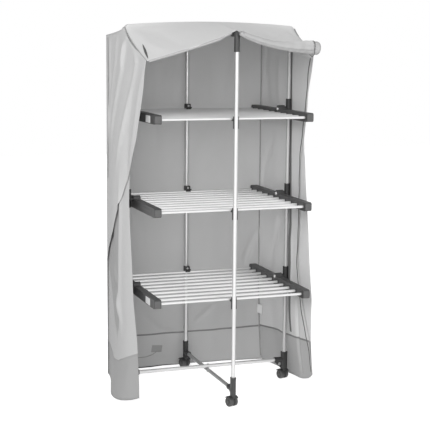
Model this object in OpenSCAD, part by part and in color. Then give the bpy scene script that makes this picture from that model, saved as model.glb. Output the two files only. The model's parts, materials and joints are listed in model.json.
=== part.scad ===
// Heated clothes airer: two crossing tube frames, three hinged shelves of heated
// bars, four swivel casters and a fabric cover with its doors folded back.
// Millimetres. The origin lies on the floor at the crossing of the two frames,
// +X to the right, +Y to the rear, +Z up.

/* [Frame] */
// Half distance between the axes of the left and right uprights
side_x = 328; // [300:1:360]
// Half distance between the axes of the front and rear uprights
cross_y = 282.5; // [260:0.5:300]
// Top of the side frame, over its elbows
frame_top = 1421; // [1400:1:1600]
// How far the cross frame's top tube runs below the side frame's
top_step = 21; // [18:0.5:30]
// Height of the side frame's base tube axis
side_base_z = 81.5; // [80:0.5:95]
// Height of the cross frame's base tube axis
cross_base_z = 66; // [62:0.5:66]
// Outer diameter of the frame tubes
tube_d = 15; // [12:0.5:15]
// Wall of the frame tubes
tube_wall = 1.2; // [0.8:0.1:2]

/* [Fittings] */
// Outer diameter of the moulded tube sockets
socket_d = 21; // [19:0.5:24]
// Reach of a side socket from the upright's axis
socket_reach = 42; // [34:1:55]
// Top of the base fittings
fitting_top = 113; // [105:1:130]
// How much longer than wide a base fitting is, along its frame
fitting_stretch = 9; // [0:0.5:12]
// Length of an elbow's vertical leg, below the axis of its top tube
elbow_leg = 64.5; // [45:0.5:90]
// Radius of an elbow's bend at its axis
bend_r = 14; // [12.5:0.5:18]
// Thickness of the rib under a side socket
gusset_t = 6; // [3:0.5:9]
// Diameter of the fold rivets
rivet_d = 5; // [4:0.5:7]
// Height of the rivet heads
rivet_head_h = 2.2; // [1.5:0.1:3]

/* [Shelves] */
// Height of the lowest shelf's bars
lowest_bar_z = 412; // [380:1:440]
// Spacing of the shelves
shelf_pitch = 336; // [320:1:345]
// Bars on each shelf
bar_count = 10; // [6:1:10]
// Outer diameter of the bars
bar_d = 10; // [9:0.5:12]
// Wall of the bars
bar_wall = 0.8; // [0.6:0.1:1.5]
// Clearance between the outer bars and the uprights beside them
bar_gap = 5; // [4:0.5:8]
// How far the bars reach into the arms
bar_seat = 10; // [6:0.5:12]
// Diameter of the insulated heating wire in the bars
wire_d = 3; // [2:0.5:4]
// Width of an arm
arm_w = 27; // [24:0.5:30]
// Height of an arm
arm_h = 33; // [30:0.5:36]
// Wall of the arm mouldings
arm_wall = 2.5; // [1.8:0.1:3.5]
// Length of an arm past its outer bars
arm_end = 16; // [12:0.5:20]
// Radius of the rounded arm ends
arm_corner = 8; // [4:0.5:12]
// Depth of the grooves along an arm's outer face
groove_d = 1; // [0.4:0.1:1.5]

/* [Shelf hinges] */
// Height of a shelf's pivot above its bars
pivot_rise = 16.5; // [14:0.5:20]
// Diameter of the ear round a pivot
ear_d = 27; // [22:0.5:32]
// Diameter of the hinge pins
pin_d = 8; // [6:0.5:9]
// Diameter of the sleeve on the upright
sleeve_d = 22; // [20:0.5:26]
// Height of a sleeve's top above the bars
sleeve_rise = 55; // [40:1:70]
// Depth of a sleeve's foot below the bars
sleeve_drop = 15; // [10:1:25]
// Space between a sleeve and its arm
arm_gap = 8; // [5:0.5:10]

/* [Bar clips] */
// Width of the clips that hold the outer bars
clip_w = 20; // [17:0.5:26]
// Wall of the clips
clip_wall = 3; // [2:0.1:4]
// Clearance between a clip's back and the bar that swings up past it
clip_gap = 1.3; // [1.1:0.1:2]
// Length of the tail of a front clip, below its bar
clip_tail = 36; // [20:1:45]
// Height of a rear clip above its bar
clip_rise = 23; // [18:0.5:30]

/* [Casters] */
// Radius of the wheels
wheel_r = 19; // [16:0.5:20]
// Width of one wheel
wheel_w = 15; // [11:0.5:17]
// Thickness of the web between the wheels
web_t = 8; // [5:0.5:10]
// Distance of the axle behind the stem
trail = 8; // [6:0.5:12]
// Diameter of the axles
axle_d = 4; // [3:0.5:5]
// Diameter of the caster stems
stem_d = 8; // [6:0.5:9]
// Height of a stem above its collar
stem_h = 14; // [8:0.5:15]
// Wall of the caster hoods
hood_wall = 2; // [1.2:0.1:3]
// Direction in which the casters have turned
caster_yaw = -73; // [-180:1:180]

/* [Cover] */
// Thickness of the cover's fabric
cloth_t = 1.2; // [0.8:0.1:2]
// Clearance between the cover's side walls and the sockets
cloth_gap = 2; // [1:0.1:6]
// Height of the hem above the floor
hem_z = 9; // [6:1:40]
// Height of the ridge in the middle above its ends
ridge_rise = 12; // [4:0.5:20]
// Sag of the front corners below the ridge
front_sag = 130; // [60:1:150]
// Sag of the rear corners below the ridge
rear_sag = 44; // [20:1:90]
// Room between the hem and the circle that a caster sweeps
hem_room = 3; // [2:0.5:12]
// Further swell of the left side, near its front edge
left_swell = 36; // [10:1:45]
// Height of the band along the right side's hem, as a share of the side
band_share = 0.07; // [0.04:0.005:0.12]
// How much further the right hem spreads than the others
right_spread = 1.13; // [1.05:0.01:1.3]
// How far the rear corners draw in
corner_taper = 9; // [0:0.5:12]
// Space between the side walls and the doors thrown back over them
flap_gap = 7; // [2:0.5:12]
// How far the ends of the ridge round down over the elbows
ridge_drop = 14; // [8:0.5:16]
// How far the roof's front edge draws back over the front elbow
front_notch = 18; // [0:1:24]
// Height of the left wall's front corner above its hem
left_lift = 31; // [10:1:60]
// Height of the right wall's front corner above its hem
right_lift = 66; // [20:1:80]
// Height of the left door's front corner above its hem
flap_lift = 20; // [5:1:40]
// Distance of the left door's fold from the rear corner
left_inset = 20; // [15:1:60]
// Distance of the right door's fold from the rear corner
right_inset = 60; // [15:1:90]
// Radius of the rolled door edge along the front
roll_r = 13; // [8:0.5:16]
// Start of the rolled door, right of the middle
roll_start = 3; // [0:0.5:20]
// Radius of the bunched door at the right front corner
bunch_r = 28; // [20:1:32]

/* [Fits] */
// Clearance round a tube, pin or stem in its seat
fit_gap = 0.05; // [0.02:0.01:0.1]
// Running gap between faces that move past each other
run_gap = 0.3; // [0.2:0.05:0.6]

/* [Hidden] */
$fn = 48;

// Colours of the materials
TUBE_GREY = [0.85, 0.85, 0.86];
PLASTIC = [0.22, 0.22, 0.23];
BAR_WHITE = [0.93, 0.93, 0.94];
STEEL = [0.7, 0.7, 0.72];
CLOTH = [0.75, 0.75, 0.76];
CLOTH_DARK = [0.6, 0.6, 0.61];
WIRE_RED = [0.6, 0.25, 0.2];

// The four corners of the crossed frames: turn about Z, then distance from the middle
RIGHT = [0, side_x];
REAR = [90, cross_y];
LEFT = [180, side_x];
FRONT = [270, cross_y];

// Heights of the tubes
side_top_z = frame_top - socket_d / 2;
cross_top_z = side_top_z - top_step;
cross_frame_top = cross_top_z + socket_d / 2;

// Casters
collar_h = 1.6;
hood_gap = 1;
skirt_rise = 13;
hood_r = wheel_r + hood_gap + hood_wall;
hood_top = wheel_r + hood_r;
collar_top = hood_top + collar_h;
fitting_bottom = collar_top + run_gap;
stem_seat = stem_h + 2;
seat_floor = 2;
upright_seat_z = fitting_bottom + stem_seat + seat_floor;
wheel_in = web_t / 2 + 0.5;
hood_w = 2 * (wheel_in + wheel_w);
caster_sweep = sqrt(pow(trail + wheel_r, 2) + pow(hood_w / 2, 2));

// Shelves: bars run along X and are spaced along Y
bar_reach = cross_y - tube_d / 2 - bar_d / 2 - bar_gap;
bar_pitch = 2 * bar_reach / (bar_count - 1);
arm_outer_x = side_x - sleeve_d / 2 - arm_gap;
arm_inner_x = arm_outer_x - arm_w;
arm_reach = bar_reach + arm_end;
shelf_z = [for (i = [0:2]) lowest_bar_z + i * shelf_pitch];
collar_d = bar_d + 7;
seat_collar_h = 2.5;
channel_top = pivot_rise - pin_d / 2 - arm_wall;
wire_drop = (bar_d - wire_d) / 2 - bar_wall - run_gap;
wire_bend = 6;
gland_d = 12;
gland_h = 8;

function bar_y(i) = -bar_reach + i * bar_pitch;

module at(station) rotate([0, 0, station[0]]) translate([station[1], 0, 0]) children();

// A length along -X, towards the middle of the airer
module inward(z, start) translate([-start, 0, z]) rotate([0, -90, 0]) children();

// Frame tubes

module pipe(length, outer = tube_d, wall = tube_wall) {
    difference() {
        cylinder(d = outer, h = length);
        translate([0, 0, -1]) cylinder(d = outer - 2 * wall, h = length + 2);
    }
}

module upright(station, top_z) {
    top = top_z - bend_r - seat_floor;
    color(TUBE_GREY) at(station) translate([0, 0, upright_seat_z]) pipe(top - upright_seat_z);
}

// A level tube through the middle, drilled for the rivet that the frames fold about
module level_tube(half, z, turn) {
    color(TUBE_GREY) rotate([0, 0, turn]) difference() {
        translate([-half, 0, z]) rotate([0, 90, 0]) pipe(2 * half);
        translate([0, 0, z - tube_d]) cylinder(d = rivet_d + 2 * fit_gap, h = 2 * tube_d);
    }
}

base_tube_start = tube_d / 2 + fit_gap + seat_floor;
top_tube_start = bend_r + seat_floor;

// Moulded fittings, with the upright's axis on Z and the middle of the airer at -X

module gusset(base_z) {
    foot = fitting_bottom;
    under = base_z - socket_d / 2 + 1;
    hole_r = (under - foot) * 0.24;
    rotate([90, 0, 0]) linear_extrude(gusset_t, center = true) difference() {
        polygon([[0, foot], [-socket_d / 2 - 1, foot], [-socket_reach + 1, under], [0, under]]);
        translate([-socket_d / 2 - hole_r - 2.5, under - hole_r - 2.5]) circle(r = hole_r);
    }
}

// The upright part of a base fitting, an oval whose length lies along the frame
module fitting_post(z0, z1, more) {
    across = tube_d + 4 + more;
    translate([0, 0, z0]) linear_extrude(z1 - z0) {
        square([fitting_stretch, across], center = true);
        for (x = [-fitting_stretch, fitting_stretch] / 2) translate([x, 0]) circle(d = across);
    }
}

module base_fitting(station, base_z) {
    color(PLASTIC) at(station) difference() {
        union() {
            fitting_post(fitting_bottom, fitting_top, 0);
            fitting_post(fitting_top - 4, fitting_top, 1.2);
            inward(base_z, 0) cylinder(d = socket_d, h = socket_reach);
            inward(base_z, socket_reach - 4) cylinder(d = socket_d + 1.2, h = 4);
            gusset(base_z);
        }
        translate([0, 0, upright_seat_z]) cylinder(d = tube_d + 2 * fit_gap, h = fitting_top);
        inward(base_z, base_tube_start) cylinder(d = tube_d + 2 * fit_gap, h = socket_reach);
        translate([0, 0, fitting_bottom - 1]) cylinder(d = stem_d + 2 * fit_gap, h = stem_seat + 1);
    }
}

module top_elbow(station, top_z) {
    leg_bottom = top_z - elbow_leg;
    color(PLASTIC) at(station) difference() {
        union() {
            translate([0, 0, leg_bottom]) cylinder(d = socket_d, h = elbow_leg - bend_r);
            translate([0, 0, leg_bottom]) cylinder(d = socket_d + 1.2, h = 4);
            translate([-bend_r, 0, top_z - bend_r]) rotate([90, 0, 0])
                rotate_extrude(angle = 90) translate([bend_r, 0]) circle(d = socket_d);
            inward(top_z, bend_r) cylinder(d = socket_d, h = socket_reach - bend_r);
        }
        translate([0, 0, leg_bottom - 1])
            cylinder(d = tube_d + 2 * fit_gap, h = elbow_leg - bend_r - seat_floor + 1);
        inward(top_z, top_tube_start) cylinder(d = tube_d + 2 * fit_gap, h = socket_reach);
    }
}

// Rivets that the two frames fold about, at the base and at the top crossing

module fold_rivet(low_z, high_z) {
    low = low_z - tube_d / 2 - run_gap;
    high = high_z + tube_d / 2;
    translate([0, 0, low - rivet_head_h]) {
        cylinder(d = rivet_d, h = high - low + 2 * rivet_head_h);
        cylinder(d = 2 * rivet_d, h = rivet_head_h);
    }
    translate([0, 0, high]) cylinder(d1 = 2 * rivet_d, d2 = 1.4 * rivet_d, h = rivet_head_h);
}

module fold_rivets() {
    color(STEEL) {
        fold_rivet(cross_base_z, side_base_z);
        fold_rivet(cross_top_z, side_top_z);
    }
}

module fold_spacer() {
    low = cross_top_z + tube_d / 2 + run_gap;
    high = side_top_z - tube_d / 2 - run_gap / 2;
    color(PLASTIC) translate([0, 0, low]) difference() {
        cylinder(d = tube_d + 3, h = high - low);
        translate([0, 0, -1]) cylinder(d = rivet_d + 2 * fit_gap, h = high - low + 2);
    }
}

// Shelf hinges: a sleeve on the upright with a boss that holds the pin

pin_root = tube_d / 2 + fit_gap + 0.8;
pin_head_h = 3;

module hinge_sleeves(station) {
    boss_h = sleeve_d / 2 + arm_gap - run_gap;
    color(PLASTIC) at(station) for (z = shelf_z) difference() {
        union() {
            translate([0, 0, z - sleeve_drop]) cylinder(d = sleeve_d, h = sleeve_drop + sleeve_rise);
            inward(z + pivot_rise, 0) cylinder(d = pin_d + 10, h = boss_h);
        }
        translate([0, 0, z - sleeve_drop - 1])
            cylinder(d = tube_d + 2 * fit_gap, h = sleeve_drop + sleeve_rise + 2);
        inward(z + pivot_rise, pin_root) cylinder(d = pin_d + 2 * fit_gap, h = boss_h);
    }
}

module hinge_pins(station) {
    tip = side_x - arm_inner_x + run_gap;
    color(STEEL) at(station) for (z = shelf_z) {
        inward(z + pivot_rise, pin_root) cylinder(d = pin_d, h = tip - pin_root + pin_head_h);
        inward(z + pivot_rise, tip) cylinder(d1 = pin_d + 5, d2 = pin_d + 3, h = pin_head_h);
    }
}

// Clips on the front and rear uprights, inside which the outer bars lie

bar_offset = cross_y - bar_reach;
cradle_r = bar_d / 2 + 0.4;

// Half a ring on the tube's inner side, which carries a clip
module clip_back(z0, z1) {
    reach = bar_offset - bar_d / 2 - clip_gap;
    intersection() {
        difference() {
            translate([0, 0, z0]) cylinder(d = 2 * reach, h = z1 - z0);
            translate([0, 0, z0 - 1]) cylinder(d = tube_d + 2 * fit_gap, h = z1 - z0 + 2);
        }
        translate([-clip_w, -clip_w, z0 - 1]) cube([clip_w - 1, 2 * clip_w, z1 - z0 + 2]);
    }
}

// A trough along the bar: under a front bar, and over a rear one when up is -1
module clip_trough(z, up) {
    difference() {
        union() {
            translate([-bar_offset, 0, z]) rotate([90, 0, 0])
                cylinder(r = cradle_r + clip_wall, h = clip_w, center = true);
            translate([-bar_offset, -clip_w / 2, z - (up > 0 ? cradle_r + clip_wall : 0)])
                cube([bar_offset - tube_d / 2 - 1, clip_w, cradle_r + clip_wall]);
        }
        translate([-bar_offset, 0, z]) rotate([90, 0, 0]) cylinder(r = cradle_r, h = clip_w + 2, center = true);
        translate([-2 * bar_offset, -clip_w, up > 0 ? z : z - 3 * bar_d])
            cube([3 * bar_offset, 2 * clip_w, 3 * bar_d]);
        translate([0, 0, z - bar_d * 2]) cylinder(d = tube_d + 2 * fit_gap, h = bar_d * 4);
    }
}

module front_bar_clips() {
    color(PLASTIC) at(FRONT) for (z = shelf_z) {
        clip_back(z - clip_tail / 2, z + bar_d / 2 + clip_wall);
        clip_back(z - clip_tail, z - clip_tail / 2);
        clip_trough(z, 1);
    }
}

module rear_bar_clips() {
    color(PLASTIC) at(REAR) for (z = shelf_z) difference() {
        union() {
            clip_back(z, z + clip_rise);
            clip_trough(z, -1);
            translate([-bar_offset - 2, -clip_w / 2, z + cradle_r])
                cube([bar_offset - tube_d / 2, clip_w, clip_rise - cradle_r]);
            translate([-bar_offset - 2, -clip_w / 2 - 5, z + cradle_r]) cube([bar_offset - tube_d / 2, 6, 5]);
        }
        translate([0, 0, z - 1]) cylinder(d = tube_d + 2 * fit_gap, h = clip_rise + 2);
        inward(z + clip_rise - 8, 0) cylinder(d = rivet_d + 2 * fit_gap, h = 2 * bar_offset);
    }
}

module clip_rivets() {
    color(STEEL) at(REAR) for (z = shelf_z) inward(z + clip_rise - 8, tube_d / 2 + fit_gap + 0.3) {
        cylinder(d = rivet_d, h = bar_offset + 2 - tube_d / 2);
        translate([0, 0, bar_offset + 2 - tube_d / 2]) cylinder(d1 = 9, d2 = 6, h = 1.8);
    }
}

// Shelves

module shelf_bars(z) {
    half = arm_inner_x + bar_seat;
    color(BAR_WHITE) for (i = [0:bar_count - 1])
        translate([-half, bar_y(i), z]) rotate([0, 90, 0]) pipe(2 * half, bar_d, bar_wall);
}

// Side view of an arm: a long bar with rounded ends
module arm_outline() {
    half = arm_reach - arm_corner;
    rise = arm_h / 2 - arm_corner;
    square([2 * half, arm_h], center = true);
    square([2 * arm_reach, 2 * rise], center = true);
    for (y = [-half, half], z = [-rise, rise]) translate([y, z]) circle(r = arm_corner);
}

// An arm at +X, with its inner face at x = 0 and its bars at z = 0
module arm_body(gland) {
    channel = arm_reach - arm_corner;
    difference() {
        union() {
            rotate([90, 0, 90]) linear_extrude(arm_w) arm_outline();
            translate([0, 0, pivot_rise]) rotate([0, 90, 0]) cylinder(d = ear_d, h = arm_w);
            for (i = [0:bar_count - 1]) translate([-seat_collar_h, bar_y(i), 0])
                rotate([0, 90, 0]) cylinder(d = collar_d, h = seat_collar_h + 1);
            if (gland) translate([arm_w / 2, arm_reach - 1, 0]) rotate([-90, 0, 0])
                cylinder(d = gland_d, h = gland_h + 1);
        }
        translate([arm_wall, -channel, arm_wall - arm_h / 2])
            cube([arm_w - 2 * arm_wall, 2 * channel, channel_top + arm_h / 2 - arm_wall]);
        for (i = [0:bar_count - 1]) translate([-seat_collar_h - 1, bar_y(i), 0])
            rotate([0, 90, 0]) cylinder(d = bar_d + 2 * fit_gap, h = seat_collar_h + arm_wall + 2);
        translate([-1, 0, pivot_rise]) rotate([0, 90, 0]) cylinder(d = pin_d + 2 * fit_gap, h = arm_w + 2);
        for (z = [-arm_h / 5, arm_h / 5]) translate([arm_w - groove_d, 12 - arm_reach, z - 1])
            cube([groove_d + 1, 2 * arm_reach - 24, 2]);
        if (gland) translate([arm_w / 2, channel - 1, 0]) rotate([-90, 0, 0])
            cylinder(d = gland_d - 5, h = arm_corner + gland_h + 2);
    }
}

module left_arm(z) color(PLASTIC) mirror([1, 0, 0]) translate([arm_inner_x, 0, z]) arm_body(true);
module right_arm(z) color(PLASTIC) translate([arm_inner_x, 0, z]) arm_body(false);

// The heating wire runs to and fro through the bars and turns back inside the arms
module wire_turn(i, side) {
    end_x = arm_inner_x + bar_seat + 2;
    scale_x = side > 0 ? 0 : 1;
    mirror([scale_x, 0, 0]) translate([end_x, 0, 0]) {
        translate([0, bar_y(i) + wire_bend, 0]) rotate([0, 0, -90])
            rotate_extrude(angle = 90) translate([wire_bend, 0]) circle(d = wire_d);
        translate([0, bar_y(i + 1) - wire_bend, 0])
            rotate_extrude(angle = 90) translate([wire_bend, 0]) circle(d = wire_d);
        translate([wire_bend, bar_y(i) + wire_bend, 0]) rotate([-90, 0, 0])
            cylinder(d = wire_d, h = bar_pitch - 2 * wire_bend);
    }
}

module heating_wire(z) {
    end_x = arm_inner_x + bar_seat + 2;
    color(WIRE_RED) translate([0, 0, z - wire_drop]) {
        for (i = [0:bar_count - 1]) translate([-end_x, bar_y(i), 0]) rotate([0, 90, 0])
            cylinder(d = wire_d, h = 2 * end_x);
        for (i = [0:bar_count - 2]) wire_turn(i, i % 2 == 0 ? 1 : -1);
    }
}

// Casters: the stem is on Z, and the axle lies along Y behind it

module at_caster(station) at(station) rotate([0, 0, caster_yaw - station[0]]) children();

module wheel_pocket(side) {
    translate([-trail, side * (web_t / 2 + hood_w / 2), wheel_r]) rotate([90, 0, 0])
        cylinder(r = wheel_r + hood_gap, h = hood_w, center = true);
}

module caster_hood(station) {
    color(PLASTIC) at_caster(station) {
        difference() {
            union() {
                translate([-trail, 0, wheel_r]) rotate([90, 0, 0])
                    cylinder(r = hood_r, h = hood_w, center = true);
                translate([0, 0, wheel_r]) cylinder(d = stem_d + 7, h = hood_r - 0.6);
                translate([0, 0, wheel_r]) cylinder(d = stem_d + 4, h = collar_top - wheel_r);
                translate([0, 0, wheel_r]) cylinder(d = stem_d, h = collar_top + stem_h - wheel_r);
            }
            wheel_pocket(1);
            wheel_pocket(-1);
            translate([-trail - 2 * hood_r, -hood_w, -hood_r])
                cube([4 * hood_r, 2 * hood_w, hood_r + wheel_r + skirt_rise]);
        }
        translate([-trail, 0, wheel_r]) rotate([90, 0, 0]) difference() {
            union() {
                cylinder(r = wheel_r - 4, h = web_t, center = true);
                translate([-12, 0, -web_t / 2]) cube([24, hood_r - 4, web_t]);
            }
            cylinder(d = axle_d + 2 * fit_gap, h = web_t + 2, center = true);
        }
    }
}

// A wheel with a rounded outer rim and a raised hub, on Z from its inner face
module wheel() {
    crown = 5;
    rotate_extrude() difference() {
        union() {
            square([wheel_r - crown, wheel_w - 1]);
            translate([0, 1]) square([wheel_r, wheel_w - 1 - crown]);
            square([wheel_r - 1, 2]);
            translate([wheel_r - crown, wheel_w - 1 - crown]) circle(r = crown);
            square([wheel_r * 0.4, wheel_w]);
        }
        translate([wheel_r * 0.4, wheel_w - 2.5]) square([wheel_r * 0.26, 5]);
        translate([-1, -1]) square([1 + axle_d / 2 + fit_gap, wheel_w - 1]);
    }
}

module caster_wheels(station) {
    color(PLASTIC) at_caster(station) for (side = [0, 1]) mirror([0, side, 0])
        translate([-trail, wheel_in, wheel_r]) rotate([-90, 0, 0]) wheel();
}

module caster_axle(station) {
    half = wheel_in + wheel_w - 2.5;
    color(STEEL) at_caster(station) translate([-trail, 0, wheel_r]) rotate([90, 0, 0])
        cylinder(d = axle_d, h = 2 * half, center = true);
}

// Cover. Each panel is a thin closed sheet over a grid of points, of which a formula
// gives the outer face, and the inner face lies one cloth thickness below it.

wall_x = side_x + (socket_d + 1.2) / 2 + cloth_gap + cloth_t;
wall_y = cross_y + (socket_d + 1.2) / 2 + cloth_gap + cloth_t;
ridge_z = frame_top + run_gap + cloth_t;
front_mid_z = cross_frame_top + run_gap + cloth_t;
flat_y = socket_d / 2 + 2;
seam_gap = 0.5;
sag_rows = 8;

function unit(v) = v / max(norm(v), 1e-6);
function grid_step(g, r, c, dr, dc) = let (nr = len(g) - 1, nc = len(g[0]) - 1)
    g[min(nr, r + dr)][min(nc, c + dc)] - g[max(0, r - dr)][max(0, c - dc)];
function inner_face(g, t) = [for (r = [0:len(g) - 1]) [for (c = [0:len(g[0]) - 1])
    g[r][c] - t * unit(cross(grid_step(g, r, c, 0, 1), grid_step(g, r, c, 1, 0)))]];

// Rows run up and columns run so that columns cross rows point out of the airer
module sheet(g, t = cloth_t) {
    nr = len(g);
    nc = len(g[0]);
    n = nr * nc;
    inner = inner_face(g, t);
    points = concat([for (row = g) each row], [for (row = inner) each row]);
    outside = [for (r = [0:nr - 2], c = [0:nc - 2]) let (a = r * nc + c, b = a + 1, d = a + nc, e = d + 1)
        each [[a, d, e], [a, e, b]]];
    inside = [for (f = outside) [f[2] + n, f[1] + n, f[0] + n]];
    low = [for (c = [0:nc - 2]) each [[c, c + 1, c + 1 + n], [c, c + 1 + n, c + n]]];
    top_row = (nr - 1) * nc;
    high = [for (c = [0:nc - 2]) let (a = top_row + c) each [[a + 1, a, a + n], [a + 1, a + n, a + 1 + n]]];
    first = [for (r = [0:nr - 2]) let (a = r * nc, b = a + nc) each [[b, a, a + n], [b, a + n, b + n]]];
    last = [for (r = [0:nr - 2]) let (a = r * nc + nc - 1, b = a + nc) each [[a, b, b + n], [a, b + n, a + n]]];
    polyhedron(points, concat(outside, inside, low, high, first, last));
}

// Share of the sag that is reached at y, flat over the ridge and steep at the side edges
function sag_share(y, end, power) = pow(max(0, abs(y) - flat_y) / (end - flat_y), power);
function ridge(x) = let (end = side_x - bend_r)
    ridge_z + ridge_rise * max(0, 1 - pow(x / end, 2))
    - ridge_drop * pow(max(0, abs(x) - end) / (wall_x - end), 3);
function edge_mid(y) = y < 0 ? front_mid_z : front_mid_z + 1;
function corner_sag(y) = y < 0 ? front_sag : rear_sag;
function end_z(x, y) = let (c = ridge_z - corner_sag(y), m = edge_mid(y))
    m + (c - m) * pow(abs(x) / wall_x, 0.85);
function top_z(x, y) = let (k = abs(x) / wall_x, power = 1 - 0.28 * k)
    ridge(x) + (end_z(x, y) - ridge(x)) * sag_share(y, wall_y, power);

function taper(y) = corner_taper * pow(max(0, y) / wall_y, 3);
function wall_top(y) = top_z(wall_x, y);

// Over the front elbow the roof's edge draws back, so that the elbow shows
function notched(x, y) = y < 0
    ? y + front_notch * pow(sag_share(y, wall_y, 1), 3) * max(0, 1 - pow(x / (3.2 * socket_d), 2)) : y;

module cover_top() {
    nx = 16;
    end = side_x - bend_r;
    edge = wall_x - cloth_t - seam_gap;
    back_y = wall_y - cloth_t - seam_gap;
    rows = concat([for (j = [sag_rows:-1:0]) -flat_y - (wall_y - flat_y) * pow(j / sag_rows, 1.4)],
        [for (j = [0:sag_rows]) flat_y + (back_y - flat_y) * pow(j / sag_rows, 1.4)]);
    rounding = [for (k = [1:4]) end + (edge - end) * k / 4];
    columns = concat([for (k = [3:-1:0]) -rounding[k]], [for (i = [0:nx]) end * (2 * i / nx - 1)], rounding);
    grid = [for (y = rows) [for (c = columns)
        let (x = c * (edge - taper(y)) / edge, y_edge = notched(x, y)) [x, y_edge, top_z(x, y_edge)]]];
    color(CLOTH) sheet(grid);
}

// The hem spreads near the floor, by what clears the circle that a caster sweeps
wall_offset = wall_x - side_x - cloth_t;
hem_spread = 1.12 * (caster_sweep + hem_room - wall_offset);
function flare(z) = hem_spread * pow(max(0, 1 - max(0, z - hood_top) / 290), 2);
function wave(v, a, n, phase) = a * sin(360 * n * v + phase);

module cover_back() {
    nx = 22;
    nz = 14;
    in_x = wall_x - corner_taper - cloth_t - seam_gap;
    grid = [for (j = [0:nz]) let (v = pow(j / nz, 1.35)) [for (i = [0:nx])
        let (x = in_x * (1 - 2 * i / nx), z = hem_z + v * (top_z(x, wall_y) - hem_z),
            across = 1 - pow(x / in_x, 2), fold = (3.5 + wave(i / nx, 3.5, 5, 40)) * (1 - v) * across)
        [x, wall_y + flare(z) * across + fold, z]]];
    color(CLOTH_DARK) sheet(grid);
}

// Front edges of the side walls and of the doors, as [share of the height, y]
LEFT_EDGE = [[0, -196], [0.05, -192], [0.11, -182], [0.165, -167], [0.27, -118], [0.38, -98], [0.46, -78],
    [0.54, -61], [0.6, -63], [0.72, -82], [0.86, -150], [1, -288]];
RIGHT_EDGE = [[0, -222], [0.114, -205], [0.223, -133], [0.335, -84], [0.43, -93], [0.645, -95], [0.71, -115],
    [0.81, -147], [0.87, -156], [0.94, -184], [1, -262]];
LEFT_FLAP = [[0, 60], [0.14, 94], [0.27, 190], [0.35, 252], [0.39, 187], [0.44, 63], [0.53, -20], [0.6, -57],
    [0.675, -118], [0.745, -173], [0.84, -225], [0.91, -262], [1, -290]];
RIGHT_FLAP = [[0, -211], [0.24, -216], [0.36, -184], [0.45, -167], [0.595, -135], [0.65, -127], [0.707, -110],
    [0.806, -137], [0.87, -147], [0.936, -175], [1, -244]];

// How far a side wall stands from the middle at y and z, where side is -1 on the left
function side_reach(side, y, z) = let (
        v = max(0, min(1, (z - hem_z) / (ridge_z - hem_z))),
        front = lookup(v, side < 0 ? LEFT_EDGE : RIGHT_EDGE),
        s = max(0, min(1, (y - front) / (wall_y - front))),
        spread = side < 0 ? flare(z) + left_swell * pow(1 - v, 0.6) : right_spread * flare(z),
        fullness = side < 0 ? pow(sin(180 * pow(s, 0.55)), 2)
            : (1 - pow(max(0, 2 * s - 1), 2)) * (1 - 0.4 * pow(max(0, 1 - s / 0.3), 2)),
        ripple = side < 0 ? 4 * (1 - v) : 12 * pow(1 - v, 2))
    wall_x - taper(y) + spread * fullness + wave(s, ripple * s * (1 - s), 3, 0);

// A wall, or a door thrown back over it by gap, from its front edge to y = rear. The part
// of it between the shares up[0] and up[1] of its height, and along[0] and along[1] of its length
function side_grid(side, edge, rear, gap, lift, up = [0, 1], along = [0, 1], nz = 16, ny = 16) =
    [for (j = [0:nz]) let (v = up[0] + (up[1] - up[0]) * pow(j / nz, 1.15), front = lookup(v, edge))
        [for (i = [0:ny]) let (t = pow(side > 0 ? i / ny : 1 - i / ny, 1.25),
            s = along[0] + (along[1] - along[0]) * t, y = front + (rear - front) * s,
            low = hem_z + lift * pow(1 - s, side > 0 ? 5 : 9), z = low + v * (wall_top(y) - low),
            off = gap > 0 ? cloth_t + seam_gap + gap * pow(1 - v, 0.3) * (1 - pow(s, 4)) : 0)
        [side * (side_reach(side, y, z) + off), y, z]]];

// A right panel: the wall above, and the band along its hem, pieced from three lengths
module banded_right(edge, rear, gap) {
    seam_share = 0.4 / ridge_z;
    joins = [0, 0.26, 0.54, 1];
    color(CLOTH_DARK) {
        sheet(side_grid(1, edge, rear, gap, right_lift, [band_share, 1]));
        for (k = [0:2]) sheet(side_grid(1, edge, rear, gap, right_lift, [0, band_share - seam_share],
            [joins[k] + (k > 0 ? 0.001 : 0), joins[k + 1]], 3, 6));
    }
}

module cover_left_side() {
    color(CLOTH) sheet(side_grid(-1, LEFT_EDGE, wall_y, 0, left_lift));
}

module cover_right_side() {
    banded_right(RIGHT_EDGE, wall_y, 0);
}

// Doors thrown back round the corners, outside the side walls

module left_door_flap() {
    color(CLOTH) sheet(side_grid(-1, LEFT_FLAP, wall_y - left_inset, flap_gap, flap_lift));
}

module right_door_flap() {
    banded_right(RIGHT_FLAP, wall_y - right_inset, flap_gap);
}

// The door's rolled top edge along the front, which ends bunched at the right front corner
roll_end = wall_x - bunch_r - 12;
roll_stations = concat([for (i = [0:20]) 0.97 * i / 20], [0.99, 1]);
function roll_swell(u) = pow(sin(90 * u), 5);
function roll_radius(u) = (roll_r * (0.7 + 0.3 * min(1, u / 0.2)) + (bunch_r - roll_r) * roll_swell(u))
    * (u > 0.97 ? sqrt(1 - pow((u - 0.97) / 0.03, 2) / 3) : 1);
function roll_centre(u) = let (r = roll_r + (bunch_r - roll_r) * roll_swell(u),
        x = roll_start + (roll_end - roll_start) * u)
    [x, -(wall_y + seam_gap + r), end_z(x, -1) - 8 + 24 * pow(u, 2) + 1.2 * (r - roll_r)];
function ring(u, n) = let (d = 0.01, c = roll_centre(u), ahead = roll_centre(min(1, u + d)),
        behind = roll_centre(max(0, u - d)), t = unit(ahead - behind), side = unit(cross(t, [0, 0, 1])),
        up = cross(side, t))
    [for (k = [0:n - 1]) c + roll_radius(u) * (cos(360 * k / n) * side + sin(360 * k / n) * up)];

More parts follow.
